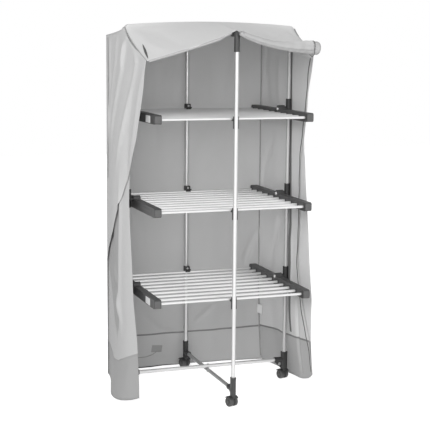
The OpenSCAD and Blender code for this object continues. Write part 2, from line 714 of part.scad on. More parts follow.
module rolled_door() {
    n = 12;
    rings = len(roll_stations) - 1;
    body = [for (u = roll_stations) each ring(u, n)];
    skin = [for (i = [0:rings - 1], k = [0:n - 1]) let (a = i * n + k, b = i * n + (k + 1) % n)
        each [[a, b, b + n], [a, b + n, a + n]]];
    start = [[for (k = [0:n - 1]) n - 1 - k]];
    finish = [[for (k = [0:n - 1]) rings * n + k]];
    color(CLOTH) polyhedron(body, concat(skin, start, finish));
}

upright(LEFT, side_top_z);  // left_upright
upright(RIGHT, side_top_z);  // right_upright
level_tube(side_x - base_tube_start, side_base_z, 0);  // side_base_tube
level_tube(side_x - top_tube_start, side_top_z, 0);  // side_top_tube
base_fitting(LEFT, side_base_z);  // left_base_fitting
base_fitting(RIGHT, side_base_z);  // right_base_fitting
top_elbow(LEFT, side_top_z);  // left_top_elbow
top_elbow(RIGHT, side_top_z);  // right_top_elbow
hinge_sleeves(LEFT);  // left_hinge_sleeves
hinge_sleeves(RIGHT);  // right_hinge_sleeves
hinge_pins(LEFT);  // left_hinge_pins
hinge_pins(RIGHT);  // right_hinge_pins
fold_rivets();
fold_spacer();
upright(FRONT, cross_top_z);  // front_upright
upright(REAR, cross_top_z);  // rear_upright
level_tube(cross_y - base_tube_start, cross_base_z, 90);  // cross_base_tube
level_tube(cross_y - top_tube_start, cross_top_z, 90);  // cross_top_tube
base_fitting(FRONT, cross_base_z);  // front_base_fitting
base_fitting(REAR, cross_base_z);  // rear_base_fitting
top_elbow(FRONT, cross_top_z);  // front_top_elbow
top_elbow(REAR, cross_top_z);  // rear_top_elbow
front_bar_clips();
rear_bar_clips();
clip_rivets();
shelf_bars(shelf_z[0]);  // bottom_shelf_bars
left_arm(shelf_z[0]);  // bottom_shelf_left_arm
right_arm(shelf_z[0]);  // bottom_shelf_right_arm
heating_wire(shelf_z[0]);  // bottom_shelf_heating_wire
shelf_bars(shelf_z[1]);  // middle_shelf_bars
left_arm(shelf_z[1]);  // middle_shelf_left_arm
right_arm(shelf_z[1]);  // middle_shelf_right_arm
heating_wire(shelf_z[1]);  // middle_shelf_heating_wire
shelf_bars(shelf_z[2]);  // top_shelf_bars
left_arm(shelf_z[2]);  // top_shelf_left_arm
right_arm(shelf_z[2]);  // top_shelf_right_arm
heating_wire(shelf_z[2]);  // top_shelf_heating_wire
caster_hood(FRONT);  // front_caster_hood
caster_wheels(FRONT);  // front_caster_wheels
caster_axle(FRONT);  // front_caster_axle
caster_hood(REAR);  // rear_caster_hood
caster_wheels(REAR);  // rear_caster_wheels
caster_axle(REAR);  // rear_caster_axle
caster_hood(LEFT);  // left_caster_hood
caster_wheels(LEFT);  // left_caster_wheels
caster_axle(LEFT);  // left_caster_axle
caster_hood(RIGHT);  // right_caster_hood
caster_wheels(RIGHT);  // right_caster_wheels
caster_axle(RIGHT);  // right_caster_axle
cover_top();
cover_back();
cover_left_side();
cover_right_side();
left_door_flap();
right_door_flap();
rolled_door();
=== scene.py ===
# %% [markdown]
# # A heated clothes airer under its cover
# The airer is a folding rack: two crossing tube frames, three shelves of heated bars and a thin fabric
# cover that keeps the warm air in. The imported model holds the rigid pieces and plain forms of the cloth.
# This lesson keeps the rigid pieces, gives them finishes, and sews the cover anew as fine sheets.

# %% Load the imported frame
import json
import math

import bpy
import numpy as np
from mathutils import Matrix

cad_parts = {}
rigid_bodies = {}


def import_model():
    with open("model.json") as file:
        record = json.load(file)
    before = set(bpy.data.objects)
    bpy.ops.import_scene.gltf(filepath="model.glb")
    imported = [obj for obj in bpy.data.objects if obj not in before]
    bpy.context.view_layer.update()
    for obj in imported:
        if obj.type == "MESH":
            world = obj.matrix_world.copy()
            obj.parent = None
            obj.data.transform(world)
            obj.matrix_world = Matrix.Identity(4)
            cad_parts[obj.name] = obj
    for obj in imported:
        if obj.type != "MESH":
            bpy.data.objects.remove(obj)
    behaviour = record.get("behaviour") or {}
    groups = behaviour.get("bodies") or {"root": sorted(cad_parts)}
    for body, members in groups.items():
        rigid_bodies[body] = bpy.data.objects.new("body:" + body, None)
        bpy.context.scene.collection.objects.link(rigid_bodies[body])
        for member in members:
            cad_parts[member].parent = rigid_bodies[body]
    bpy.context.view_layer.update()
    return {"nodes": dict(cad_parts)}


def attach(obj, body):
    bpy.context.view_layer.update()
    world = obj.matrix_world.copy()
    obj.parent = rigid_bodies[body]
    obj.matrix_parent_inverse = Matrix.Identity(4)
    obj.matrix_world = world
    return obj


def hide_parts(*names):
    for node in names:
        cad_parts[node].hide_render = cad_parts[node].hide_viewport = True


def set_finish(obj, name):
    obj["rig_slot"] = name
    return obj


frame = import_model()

# %% [markdown]
# ## Sizes
# A sewn cover is drafted from the rack it has to clear, so its formulas start from the same few sizes as
# the solid model, in millimetres. They are written once here and multiplied down to metres at the end.

# %% Sizes shared with the solid model, in millimetres
MM = 0.001
SIDE_X = 328
CROSS_Y = 282.5
FRAME_TOP = 1421
CROSS_FRAME_TOP = 1400
SOCKET_D = 21
SOCKET_RIB = 1.2
BEND_R = 14
SHELF_Z = (412, 748, 1084)
ARM_OUTER_X = 309
ARM_INNER_X = 282
ARM_REACH = 281
TRAIL = 8
WHEEL_R = 19
WHEEL_OUTSIDE = 19.5
HOOD_TOP = 41

CLOTH_T = 1.2
CLOTH_GAP = 2
RUN_GAP = 0.3
SEAM_GAP = 0.5
CORNER_TAPER = 9
HEM_Z = 9
HEM_SAG = 7
HEM_ROOM = 3
WALL_X = SIDE_X + (SOCKET_D + SOCKET_RIB) / 2 + CLOTH_GAP + CLOTH_T
WALL_Y = CROSS_Y + (SOCKET_D + SOCKET_RIB) / 2 + CLOTH_GAP + CLOTH_T
HALF_BACK = WALL_X - CORNER_TAPER - CLOTH_T - SEAM_GAP
RIDGE_Z = FRAME_TOP + RUN_GAP + CLOTH_T
FRONT_MID_Z = CROSS_FRAME_TOP + RUN_GAP + CLOTH_T
FLAT_Y = SOCKET_D / 2 + 2
BEND_END = SIDE_X - BEND_R
CASTER_SWEEP = math.hypot(TRAIL + WHEEL_R, WHEEL_OUTSIDE)
HEM_SPREAD = 1.12 * (CASTER_SWEEP + HEM_ROOM - (WALL_X - SIDE_X - CLOTH_T))
print(f"cover walls at x = {WALL_X:.1f} mm and y = {WALL_Y:.1f} mm, hem spread {HEM_SPREAD:.1f} mm")

# %% [markdown]
# ## Camera
# The photograph was taken from the left front with a long lens, so upright tubes stay almost parallel.
# The place and turn of the camera come from fitting it to the corners of the rack. A camera's three axes
# are the columns of its matrix: right, up and back.

# %% Camera
CAMERA_AT = (-1.5324, -4.3040, 1.3853)
TURN, TILT, ROLL = -0.346939, 0.151122, 0.009203
LENS = 99.05


def placed_axes(right, up, back, at):
    """A matrix whose columns are three axes and a place."""
    matrix = np.eye(4)
    matrix[:3] = np.stack([right, up, back, at], 1)
    return Matrix(matrix.tolist())


def camera_matrix(at, turn, tilt, roll):
    """back = (sin turn cos tilt, -cos turn cos tilt, sin tilt); right and up are rolled about it."""
    back = np.array([math.sin(turn) * math.cos(tilt), -math.cos(turn) * math.cos(tilt), math.sin(tilt)])
    level = np.cross(-back, (0, 0, 1))
    level /= np.linalg.norm(level)
    rise = np.cross(level, -back)
    right = math.cos(roll) * level + math.sin(roll) * rise
    up = math.cos(roll) * rise - math.sin(roll) * level
    return placed_axes(right, up, back, at)


camera = bpy.data.objects.new("camera", bpy.data.cameras.new("camera"))
bpy.context.scene.collection.objects.link(camera)
camera.matrix_world = camera_matrix(CAMERA_AT, TURN, TILT, ROLL)
camera.data.lens = LENS
camera.data.clip_end = 50
bpy.context.scene.camera = camera
bpy.context.scene.view_settings.view_transform = "Standard"
print(f"camera turned {math.degrees(TURN):.1f} and tilted {math.degrees(TILT):.1f} degrees, lens {LENS} mm")

# %% [markdown]
# ## Light and floor
# Pale goods on white are lit by large soft boxes and by the white room itself. The main box stands high
# at the left, a second one low beside the camera, and a weak third one opens the shadows from the right.
# The world shows pure white to the camera and to glossy surfaces, but lights the cloth at a plain level.
# The floor is pale too: for the camera it glows a little, so that only the airer's soft shadow stays.

# %% Small helpers for shader trees


def feed(tree, node, inputs):
    """Sets named sockets of a node, each to a value or from the socket that feeds it."""
    for socket, source in inputs.items():
        if isinstance(source, bpy.types.NodeSocket):
            tree.links.new(source, node.inputs[socket])
        else:
            node.inputs[socket].default_value = source
    return node


def add(tree, kind, inputs=None, **settings):
    """Adds a shader node with its settings and feeds its sockets."""
    node = tree.nodes.new("ShaderNode" + kind)
    for key, value in settings.items():
        setattr(node, key, value)
    return feed(tree, node, inputs or {})


def math_node(tree, operation, *values):
    """One number worked out from up to three others."""
    return add(tree, "Math", dict(enumerate(values)), operation=operation).outputs[0]


def seen_directly(tree):
    """1 for rays from the camera, mirrors and glass, 0 for light on its way to matt surfaces."""
    path = add(tree, "LightPath")
    mirrored = math_node(tree, "MAXIMUM", path.outputs["Is Glossy Ray"], path.outputs["Is Transmission Ray"])
    return math_node(tree, "MAXIMUM", path.outputs["Is Camera Ray"], mirrored)


# %% World and lamps
ROOM_LIGHT = 0.45

world = bpy.data.worlds.new("white room")
bpy.context.scene.world = world
world.use_nodes = True
tree = world.node_tree
tree.nodes.clear()
strength = math_node(tree, "MULTIPLY_ADD", seen_directly(tree), 1 - ROOM_LIGHT, ROOM_LIGHT)
shine = add(tree, "Background", {"Color": (1, 1, 1, 1), "Strength": strength})
add(tree, "OutputWorld", {"Surface": shine.outputs[0]})


def soft_box(name, at, aim, size, watts):
    """A square area lamp at a place, with its back axis pointing away from what it lights."""
    lamp = bpy.data.lights.new(name, "AREA")
    lamp.energy, lamp.size = watts, size
    lamp_object = bpy.data.objects.new(name, lamp)
    bpy.context.scene.collection.objects.link(lamp_object)
    back = np.subtract(at, aim) / np.linalg.norm(np.subtract(at, aim))
    side = np.cross((0, 0, 1), back)
    side /= np.linalg.norm(side)
    lamp_object.matrix_world = placed_axes(side, np.cross(back, side), back, at)
    print(f"{name}: {watts} W from {size} m square")


soft_box("key_softbox", (-2.2, -3.4, 2.9), (0, 0, 0.75), 2.4, 100)
soft_box("front_softbox", (-1.2, -4.6, 1.3), (0, 0, 0.7), 1.6, 36)
soft_box("fill_softbox", (2.8, -2.6, 1.8), (0, 0, 0.7), 2.0, 14)

# %% Floor
FLOOR_HALF = 9.0
FLOOR_GREY = 0.86
FLOOR_GLOW = 0.75

floor_mesh = bpy.data.meshes.new("floor")
corners = [(x * FLOOR_HALF, y * FLOOR_HALF, 0) for x, y in ((-1, -1), (1, -1), (1, 1), (-1, 1))]
floor_mesh.from_pydata(corners, [], [(0, 1, 2, 3)])
floor = bpy.data.objects.new("floor", floor_mesh)
bpy.context.scene.collection.objects.link(floor)

pale_floor = bpy.data.materials.new("pale_floor")
pale_floor.use_nodes = True
tree = pale_floor.node_tree
tree.nodes.clear()
matt = add(tree, "BsdfDiffuse", {"Color": (FLOOR_GREY, FLOOR_GREY, FLOOR_GREY, 1)})
glow_share = math_node(tree, "MULTIPLY", seen_directly(tree), FLOOR_GLOW)
glow = add(tree, "Emission", {"Color": (1, 1, 1, 1), "Strength": glow_share})
both = add(tree, "AddShader", {0: matt.outputs[0], 1: glow.outputs[0]})
add(tree, "OutputMaterial", {"Surface": both.outputs[0]})
floor_mesh.materials.append(pale_floor)
print(f"floor {2 * FLOOR_HALF:.0f} m square")

# %% [markdown]
# ## What the finishes share
# Four effects come back in many finishes, so each is a node group with named sockets: the plain weave of
# the cover, slow changes of tone over a large piece, the fine grain of moulded plastic, and dust near the
# floor. Groups give numbers only, and every material keeps its own Principled shader.

# %% Node groups


def new_group(name, inputs, outputs):
    """An empty shader group with its sockets; inputs are (name, kind, value) and outputs are names."""
    group = bpy.data.node_groups.new(name, "ShaderNodeTree")
    for label, kind, value in inputs:
        socket = group.interface.new_socket(label, in_out="INPUT", socket_type=kind)
        if value is not None:
            socket.default_value = value
    for label in outputs:
        group.interface.new_socket(label, in_out="OUTPUT", socket_type="NodeSocketFloat")
    return group, group.nodes.new("NodeGroupInput").outputs, group.nodes.new("NodeGroupOutput").inputs


def build_weave():
    """Plain weave: cell (i, j) shows a warp thread where i + j is even, else a weft thread.
    A thread's height is sin(pi f) over its width, f being how far across it the point lies."""
    inputs = [("Cloth", "NodeSocketVector", None), ("Pitch", "NodeSocketFloat", 0.0008)]
    group, given, result = new_group("plain weave", inputs, ["Height", "Warp"])
    parts = add(group, "SeparateXYZ", {0: given["Cloth"]})
    across, cells = [], []
    for axis in "XY":
        threads = math_node(group, "DIVIDE", parts.outputs[axis], given["Pitch"])
        fraction = math_node(group, "FRACT", threads)
        across.append(math_node(group, "SINE", math_node(group, "MULTIPLY", fraction, math.pi)))
        cells.append(math_node(group, "FLOOR", threads))
    odd = math_node(group, "FLOORED_MODULO", math_node(group, "ADD", *cells), 2)
    even = math_node(group, "SUBTRACT", 1, odd)
    warp = math_node(group, "MULTIPLY", even, across[0])
    group.links.new(math_node(group, "MULTIPLY_ADD", odd, across[1], warp), result["Height"])
    group.links.new(even, result["Warp"])
    return group


def build_slow_tone():
    """Tone = 1 + spread (noise - 1/2) x 2, with soft noise over the object."""
    inputs = [("Scale", "NodeSocketFloat", 6.0), ("Spread", "NodeSocketFloat", 0.03)]
    group, given, result = new_group("slow tone", inputs, ["Tone"])
    place = add(group, "TexCoord").outputs["Object"]
    noise = add(group, "TexNoise", {"Vector": place, "Scale": given["Scale"], "Detail": 2.0})
    centred = math_node(group, "MULTIPLY_ADD", noise.outputs[0], 2, -1)
    group.links.new(math_node(group, "MULTIPLY_ADD", centred, given["Spread"], 1), result["Tone"])
    return group


def build_moulded_grain():
    """Spark-eroded mould grain: two octaves of fine noise, and scuffs where a slower noise peaks."""
    inputs = [("Scale", "NodeSocketFloat", 1400.0)]
    group, given, result = new_group("moulded grain", inputs, ["Height", "Scuff"])
    place = add(group, "TexCoord").outputs["Object"]
    grain = add(group, "TexNoise", {"Vector": place, "Scale": given["Scale"], "Detail": 1.0})
    slow = add(group, "TexNoise", {"Vector": place, "Scale": 60.0, "Detail": 3.0, "Roughness": 0.7})
    scuff = add(group, "MapRange", {"Value": slow.outputs[0], "From Min": 0.6, "From Max": 0.75})
    group.links.new(grain.outputs[0], result["Height"])
    group.links.new(scuff.outputs[0], result["Scuff"])
    return group


def build_dust():
    """Dust = noise x (1 - height above the floor / reach), never below 0."""
    inputs = [("Reach", "NodeSocketFloat", 0.05)]
    group, given, result = new_group("floor dust", inputs, ["Dust"])
    place = add(group, "TexCoord").outputs["Object"]
    height = add(group, "SeparateXYZ", {0: place}).outputs["Z"]
    fade = math_node(group, "SUBTRACT", 1, math_node(group, "DIVIDE", height, given["Reach"]))
    noise = add(group, "TexNoise", {"Vector": place, "Scale": 90.0, "Detail": 4.0})
    dust = math_node(group, "MULTIPLY", math_node(group, "MAXIMUM", fade, 0), noise.outputs[0])
    group.links.new(dust, result["Dust"])
    return group


WEAVE, SLOW_TONE, MOULDED_GRAIN, DUST = build_weave(), build_slow_tone(), build_moulded_grain(), build_dust()


def place_group(tree, group, **values):
    """A group in a material, with its own values or feeds."""
    node = tree.nodes.new("ShaderNodeGroup")
    node.node_tree = group
    return feed(tree, node, values).outputs


def finish_material(name, grey, roughness, **sockets):
    """A material with a Principled shader of a neutral grey; returns the tree and the shader."""
    material = bpy.data.materials.new(name)
    material.use_nodes = True
    shader = material.node_tree.nodes["Principled BSDF"]
    shader.inputs["Base Color"].default_value = (grey, grey, grey, 1)
    shader.inputs["Roughness"].default_value = roughness
    for label, value in sockets.items():
        shader.inputs[label.replace("_", " ")].default_value = value
    return material, material.node_tree, shader


def tint(tree, shader, grey, tone):
    """Base colour = grey x tone, where tone is a socket."""
    value = math_node(tree, "MULTIPLY", tone, grey)
    colour = add(tree, "CombineColor", {0: value, 1: value, 2: value})
    tree.links.new(colour.outputs[0], shader.inputs["Base Color"])


def bump(tree, shader, height, distance):
    """Feeds a height into the shader's normal."""
    node = add(tree, "Bump", {"Height": height, "Distance": distance})
    tree.links.new(node.outputs[0], shader.inputs["Normal"])


def climb(tree, value, low, high, start=0.0):
    """A smooth climb from start to 1 while the value goes from low to high."""
    inputs = {"Value": value, "From Min": low, "From Max": high, "To Min": start}
    return add(tree, "MapRange", inputs, interpolation_type="SMOOTHSTEP").outputs[0]


print("node groups:", ", ".join(group.name for group in bpy.data.node_groups))

# %% [markdown]
# ## Finishes
# The cover is thin coated polyester: pale outside, greyer inside, and darker again in the band at the
# hem. Some pieces take copies of the cloth with painted light or shade: the roof and the linings of the
# right wall and right door are paler copies, painted light, and the left wall and the roll are darker
# copies, painted shade. Painted shade also darkens the left wall behind its crest, where it lies in the
# thrown-back door's shade, and the lining and the apron near the first row of each piece. The tubes are
# lacquered, with darker copies of the lacquer as painted shade on the right upright and the cross base
# tube; the bars are satin metal that mirrors the white room, and the mouldings are charcoal or nearly
# black. Every grey is a linear value, so 0.6 shows as a light grey of about 203.

# %% Cloth
# Borders of the painted shade on the left wall behind its crest, in metres
CREST_LEAN, CREST_BORDER = 0.049, (-0.040, -0.028)
FOOT_SLOPE, FOOT_BORDER = 0.87, (0.226, 0.27)


def painted_crest_shade_mask(tree):
    """Mask of painted shade on the left wall: 1 behind its crest, where y > 0.049 z - 0.034, and above
    its foot, where z > 0.87 y + 0.226; 0 in front, with soft borders."""
    parts = add(tree, "SeparateXYZ", {0: add(tree, "TexCoord").outputs["Object"]}).outputs
    lean = math_node(tree, "MULTIPLY_ADD", parts["Z"], -CREST_LEAN, parts["Y"])
    foot = math_node(tree, "MULTIPLY_ADD", parts["Y"], -FOOT_SLOPE, parts["Z"])
    return math_node(tree, "MULTIPLY", climb(tree, lean, *CREST_BORDER), climb(tree, foot, *FOOT_BORDER))


def cloth(name, grey, pitch=0.0008, fade=None, crest_shade=0):
    """Woven cloth on the piece's own UV map, which is in metres. With fade = (from, to, share) the tone
    climbs from that share to 1 between the two distances from the piece's first row: painted shade near
    that row. Behind the crest of the left wall, painted shade darkens the tone by the share crest_shade."""
    material, tree, shader = finish_material(name, grey, 0.82, Sheen_Weight=0.12, Specular_IOR_Level=0.3)
    where = add(tree, "UVMap", uv_map="cloth").outputs[0]
    weave = place_group(tree, WEAVE, Cloth=where, Pitch=pitch)
    tone = place_group(tree, SLOW_TONE, Scale=5.0, Spread=0.03)
    thread = math_node(tree, "MULTIPLY_ADD", weave["Warp"], 0.03, 0.985)
    whole = math_node(tree, "MULTIPLY", thread, tone["Tone"])
    # Painted shade: darker near the piece's first row
    if fade:
        along = add(tree, "SeparateXYZ", {0: where}).outputs["Y"]
        whole = math_node(tree, "MULTIPLY", whole, climb(tree, along, *fade))
    # Painted shade: darker behind the left wall's crest
    if crest_shade:
        left = math_node(tree, "MULTIPLY_ADD", painted_crest_shade_mask(tree), -crest_shade, 1)
        whole = math_node(tree, "MULTIPLY", whole, left)
    tint(tree, shader, grey, whole)
    bump(tree, shader, weave["Height"], 0.00012)
    return material


CLOTH_OUTSIDE = cloth("cover_cloth", 0.63)
# A paler copy of the cover cloth for the roof: painted light
LIT_ROOF_CLOTH = cloth("roof_cloth_painted_light", 0.70)
# A darker copy of the cover cloth for the left wall, painted shade, with more painted shade behind its crest
SHADED_LEFT_WALL_CLOTH = cloth("left_wall_cloth_painted_shade", 0.56, crest_shade=0.28)
# The lining, with painted shade that darkens it near the first row of a piece
LINING_AND_PAINTED_SHADE = cloth("cover_lining_and_painted_shade", 0.65, fade=(0.1, 1.3, 0.84))
# A paler copy of the lining for the right wall: painted light for light that passes through the cloth
LIT_RIGHT_LINING = cloth("right_wall_lining_painted_light", 0.79)
# A paler copy of the lining for the right door: painted light
LIT_DOOR_LINING = cloth("door_lining_painted_light", 0.84)
# A darker copy of the cover cloth for the roll and the rolled hem: painted shade
SHADED_ROLLED_CLOTH = cloth("rolled_door_cloth_painted_shade", 0.47)
BAND_OUTSIDE = cloth("hem_band_cloth", 0.40, pitch=0.0014)
BAND_LINING = cloth("hem_band_lining", 0.56, pitch=0.0014)
# Grey for the corner seam tapes, a dark strip and patch, and painted shade in a fold of the left door
TAPE_AND_SHADE_GREY = cloth("grey_tape_and_painted_shade", 0.38, pitch=0.0006)
# Painted shadow of the right upright on the right wall
PAINTED_UPRIGHT_SHADOW = cloth("upright_painted_shadow", 0.17, pitch=0.0006)
SEAM_TAPE = cloth("seam_tape", 0.27, pitch=0.0006)
# Near-black for the zips, and painted shade along the rear hem and at the front left opening
DARK_BINDING_AND_SHADE = cloth("dark_binding_and_painted_shade", 0.08, pitch=0.0006)
PALE_TAPE = cloth("care_tag_cloth", 0.9, pitch=0.0005)

# %% Metal


def lacquered(name, grey, roughness=0.32, metallic=0.0):
    """Lacquered or satin tube: an even coat with slow changes of tone and a faint orange peel."""
    material, tree, shader = finish_material(name, grey, roughness, Metallic=metallic, Coat_Weight=0.25)
    tone = place_group(tree, SLOW_TONE, Scale=14.0, Spread=0.025)
    tint(tree, shader, grey, tone["Tone"])
    peel = place_group(tree, MOULDED_GRAIN, Scale=420.0)
    bump(tree, shader, peel["Height"], 0.000006)
    return material


TUBE_LIGHT = lacquered("tube_lacquer", 0.66, 0.38, 0.7)
# A darker copy of the tube lacquer for the right upright: painted shade
TUBE_PAINTED_SHADE = lacquered("tube_lacquer_painted_shade", 0.52, 0.5, 0.3)
# A darker copy of the tube lacquer for the cross base tube: painted shade
TUBE_BASE_PAINTED_SHADE = lacquered("base_tube_lacquer_painted_shade", 0.38, 0.36, 0.5)
BAR_SATIN = lacquered("bar_satin", 0.76, 0.30, 0.6)
RIVET_STEEL = lacquered("rivet_steel", 0.55, 0.3, 0.9)
WIRE_SLEEVE = lacquered("wire_insulation", 0.16, 0.5)

# %% Moulded plastic


def moulded(name, grey, roughness=0.5, grain=1400.0, dust_reach=0.0):
    """Moulded plastic: mould grain, a few paler scuffs, and dust where the piece is near the floor."""
    material, tree, shader = finish_material(name, grey, roughness)
    mould = place_group(tree, MOULDED_GRAIN, Scale=grain)
    tone = math_node(tree, "MULTIPLY_ADD", mould["Scuff"], 0.25, 1)
    if dust_reach:
        dust = place_group(tree, DUST, Reach=dust_reach)
        tone = math_node(tree, "MULTIPLY_ADD", dust["Dust"], 1.6, tone)
    tint(tree, shader, grey, tone)
    rough = math_node(tree, "MULTIPLY_ADD", mould["Scuff"], 0.12, roughness)
    tree.links.new(rough, shader.inputs["Roughness"])
    bump(tree, shader, mould["Height"], 0.00004)
    return material


ARM_CHARCOAL = moulded("arm_charcoal", 0.055)
ARM_CAP_GREY = moulded("arm_cap_grey", 0.10, 0.45)
FITTING_GREY = moulded("front_fitting_grey", 0.045)
FITTING_BLACK = moulded("fitting_black", 0.022)
CLIP_BLACK = moulded("clip_black", 0.03)
HOOD_BLACK = moulded("caster_hood_black", 0.035, 0.4, 1400.0, 0.05)
WHEEL_GREY = moulded("caster_wheel_grey", 0.05, 0.45, 900.0, 0.04)
BLANK_WHITE = moulded("blank_plate_white", 0.75, 0.35, 800.0)

# %% [markdown]
# ## Dress the rigid pieces
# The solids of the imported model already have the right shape, so only their material changes. The table
# goes from the start or the end of a node's name to its finish, and the first line that fits is used.

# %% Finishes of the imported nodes
NODE_FINISH = [
    ("bars", BAR_SATIN), ("heating_wire", WIRE_SLEEVE), ("_arm", ARM_CHARCOAL),
    ("front_top_elbow", FITTING_GREY), ("front_base_fitting", FITTING_GREY),
    ("elbow", FITTING_BLACK), ("base_fitting", FITTING_BLACK), ("sleeves", FITTING_BLACK),
    ("spacer", FITTING_BLACK), ("bar_clips", CLIP_BLACK), ("rivets", RIVET_STEEL), ("pins", RIVET_STEEL),
    # the cross base tube takes a darker copy of the lacquer, painted shade
    ("axle", RIVET_STEEL), ("hood", HOOD_BLACK), ("wheels", WHEEL_GREY), ("cross_base_tube", TUBE_BASE_PAINTED_SHADE),
    # the right upright takes the darker copy of the lacquer, painted shade
    ("right_upright", TUBE_PAINTED_SHADE), ("upright", TUBE_LIGHT), ("tube", TUBE_LIGHT),
]
COVER_NODES = ("cover_top", "cover_back", "cover_left_side", "cover_right_side", "left_door_flap",
               "right_door_flap", "rolled_door")

for name, node in frame["nodes"].items():
    if name in COVER_NODES:
        continue
    finish = next(material for part, material in NODE_FINISH if part in name)
    node.data.materials.clear()
    node.data.materials.append(finish)
print("dressed", len(frame["nodes"]) - len(COVER_NODES), "rigid nodes")

# %% [markdown]
# ## How a piece of cloth becomes a mesh
# A panel is a function that gives a place for every pair of numbers, worked out for a whole grid at once.
# Lengths along the grid's rows and columns become its UV map in metres, so threads keep their size
# everywhere. Solidify then gives the sheet its thickness, with the lining on its inner face.

# %% Build meshes from grids


def run_lengths(points, axis):
    """Distance walked along the grid up to each point, in metres."""
    steps = np.linalg.norm(np.diff(points, axis=axis), axis=2) * MM
    first = np.zeros_like(np.take(steps, [0], axis=axis))
    return np.cumsum(np.concatenate([first, steps], axis=axis), axis=axis)


def cell_corners(grid):
    """The four corners of each cell of a grid, in turn."""
    return np.stack([grid[:-1, :-1], grid[:-1, 1:], grid[1:, 1:], grid[1:, :-1]], 2)


def new_piece(name, points, faces, uv, materials, body):
    """A mesh object in metres that rides on a body; uv holds one pair for each face corner."""
    mesh = bpy.data.meshes.new(name)
    mesh.from_pydata((points * MM).tolist(), [], faces)
    layer = mesh.uv_layers.new(name="cloth")
    layer.data.foreach_set("uv", np.asarray(uv, float).ravel())
    mesh.shade_smooth()
    for material in materials:
        mesh.materials.append(material)
    piece = bpy.data.objects.new(name, mesh)
    bpy.context.scene.collection.objects.link(piece)
    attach(piece, body)
    return piece


def sheet_piece(name, points, materials, thickness=CLOTH_T, band_rows=0):
    """points[j, i] lies j rows up and i columns along; columns x rows points outwards.
    The first band_rows rows of faces are of the hem band's own cloth."""
    rows, cols = points.shape[:2]
    quads = cell_corners(np.arange(rows * cols).reshape(rows, cols)).reshape(-1, 4)
    uv = cell_corners(np.stack([run_lengths(points, 1), run_lengths(points, 0)], -1)).reshape(-1, 2)
    if band_rows:
        materials = materials + [BAND_OUTSIDE, BAND_LINING]
    piece = new_piece(name, points.reshape(-1, 3), quads.tolist(), uv, materials, "cover")
    if band_rows:
        which = np.zeros((rows - 1, cols - 1), np.int32)
        which[:band_rows] = 2
        piece.data.polygons.foreach_set("material_index", which.ravel())
    wall = piece.modifiers.new("cloth thickness", "SOLIDIFY")
    wall.thickness, wall.offset = thickness * MM, -1
    wall.material_offset = 1 if len(materials) > 1 else 0
    return piece


def carried_ring(line, radius, angle):
    """line + radius (cos angle side + sin angle up), where side is level and up is square to both."""
    ahead = np.gradient(line, axis=0)
    ahead /= np.linalg.norm(ahead, axis=1, keepdims=True)
    side = np.cross(ahead, (0.0, 0.0, 1.0))
    side /= np.maximum(np.linalg.norm(side, axis=1, keepdims=True), 1e-6)
    up = np.cross(side, ahead)
    ring = np.cos(angle)[..., None] * side[:, None] + np.sin(angle)[..., None] * up[:, None]
    return line[:, None] + radius[..., None] * ring


def cord_piece(name, line, radius, material, around):
    """A round cord of cloth or binding along a line, with closed ends."""
    rows = len(line)
    radius = np.broadcast_to(np.asarray(radius, float), (rows,))[:, None]
    points = carried_ring(line, radius, np.linspace(0, 2 * math.pi, around, endpoint=False)[None, :])
    index = np.arange(rows * around).reshape(rows, around)
    quads = cell_corners(np.concatenate([index, index[:, :1]], 1)).reshape(-1, 4)
    ends = [index[0][::-1].tolist(), index[-1].tolist()]
    along = run_lengths(points, 0)[:, :1].repeat(around + 1, 1)
    girth = np.linspace(0, 1, around + 1)[None, :] * 2 * math.pi * radius * MM
    uv = cell_corners(np.stack([girth, along], -1)).reshape(-1, 2)
    uv = np.concatenate([uv, np.zeros((2 * around, 2))])
    return new_piece(name, points.reshape(-1, 3), quads.tolist() + ends, uv, [material], "cover")


# %% [markdown]
# ## Folds
# Hanging cloth creases along lines: a fold is a low ridge or a valley that runs down from where the cloth
# is held and dies away at its ends. Each is drawn as a line on the panel, and lifts the cloth by a bell
# curve of the distance to that line. Slow ripples between the folds keep the panel from looking pressed.

# %% Fold and ripple formulas


def smooth_step(t):
    """3 t^2 - 2 t^3, from 0 to 1."""
    t = np.clip(t, 0, 1)
    return t * t * (3 - 2 * t)


def bell_fold(a, b, line, width, lift):
    """lift x exp(-(d / width)^2) x fade, where d is the distance to the line and fade is 0 at its ends."""
    line = np.asarray(line, float)
    lengths = np.linalg.norm(np.diff(line, axis=0), axis=1)
    total = lengths.sum()
    nearest = np.full(a.shape, np.inf)
    walked = np.zeros(a.shape)
    done = 0.0
    for (p, q), length in zip(zip(line[:-1], line[1:]), lengths):
        da, db = (q - p) / length
        t = np.clip((a - p[0]) * da + (b - p[1]) * db, 0, length)
        d = np.hypot(a - p[0] - t * da, b - p[1] - t * db)
        closer = d < nearest
        nearest = np.where(closer, d, nearest)
        walked = np.where(closer, done + t, walked)
        done += length
    share = walked / total
    fade = smooth_step(np.clip(4 * share, 0, 1) * np.clip(4 * (1 - share), 0, 1))
    return lift * np.exp(-((nearest / width) ** 2)) * fade


def creases(a, b, folds):
    """Sum of the bell folds of a table whose rows are (line, width, lift), in millimetres."""
    return sum(bell_fold(a, b, *fold) for fold in folds)


def ripples(a, b, count, length, height, seed):
    """Sum of count sine waves of about the given length, in directions drawn with a fixed seed."""
    draw = np.random.default_rng(seed)
    total = np.zeros(np.broadcast(a, b).shape)
    for _ in range(count):
        turn, phase = draw.uniform(-0.45, 0.45), draw.uniform(0, 2 * math.pi)
        k = 2 * math.pi / (length * draw.uniform(0.7, 1.5))
        total += np.sin(k * (a * math.cos(turn) + b * math.sin(turn)) + phase)
    return height * total / math.sqrt(count)


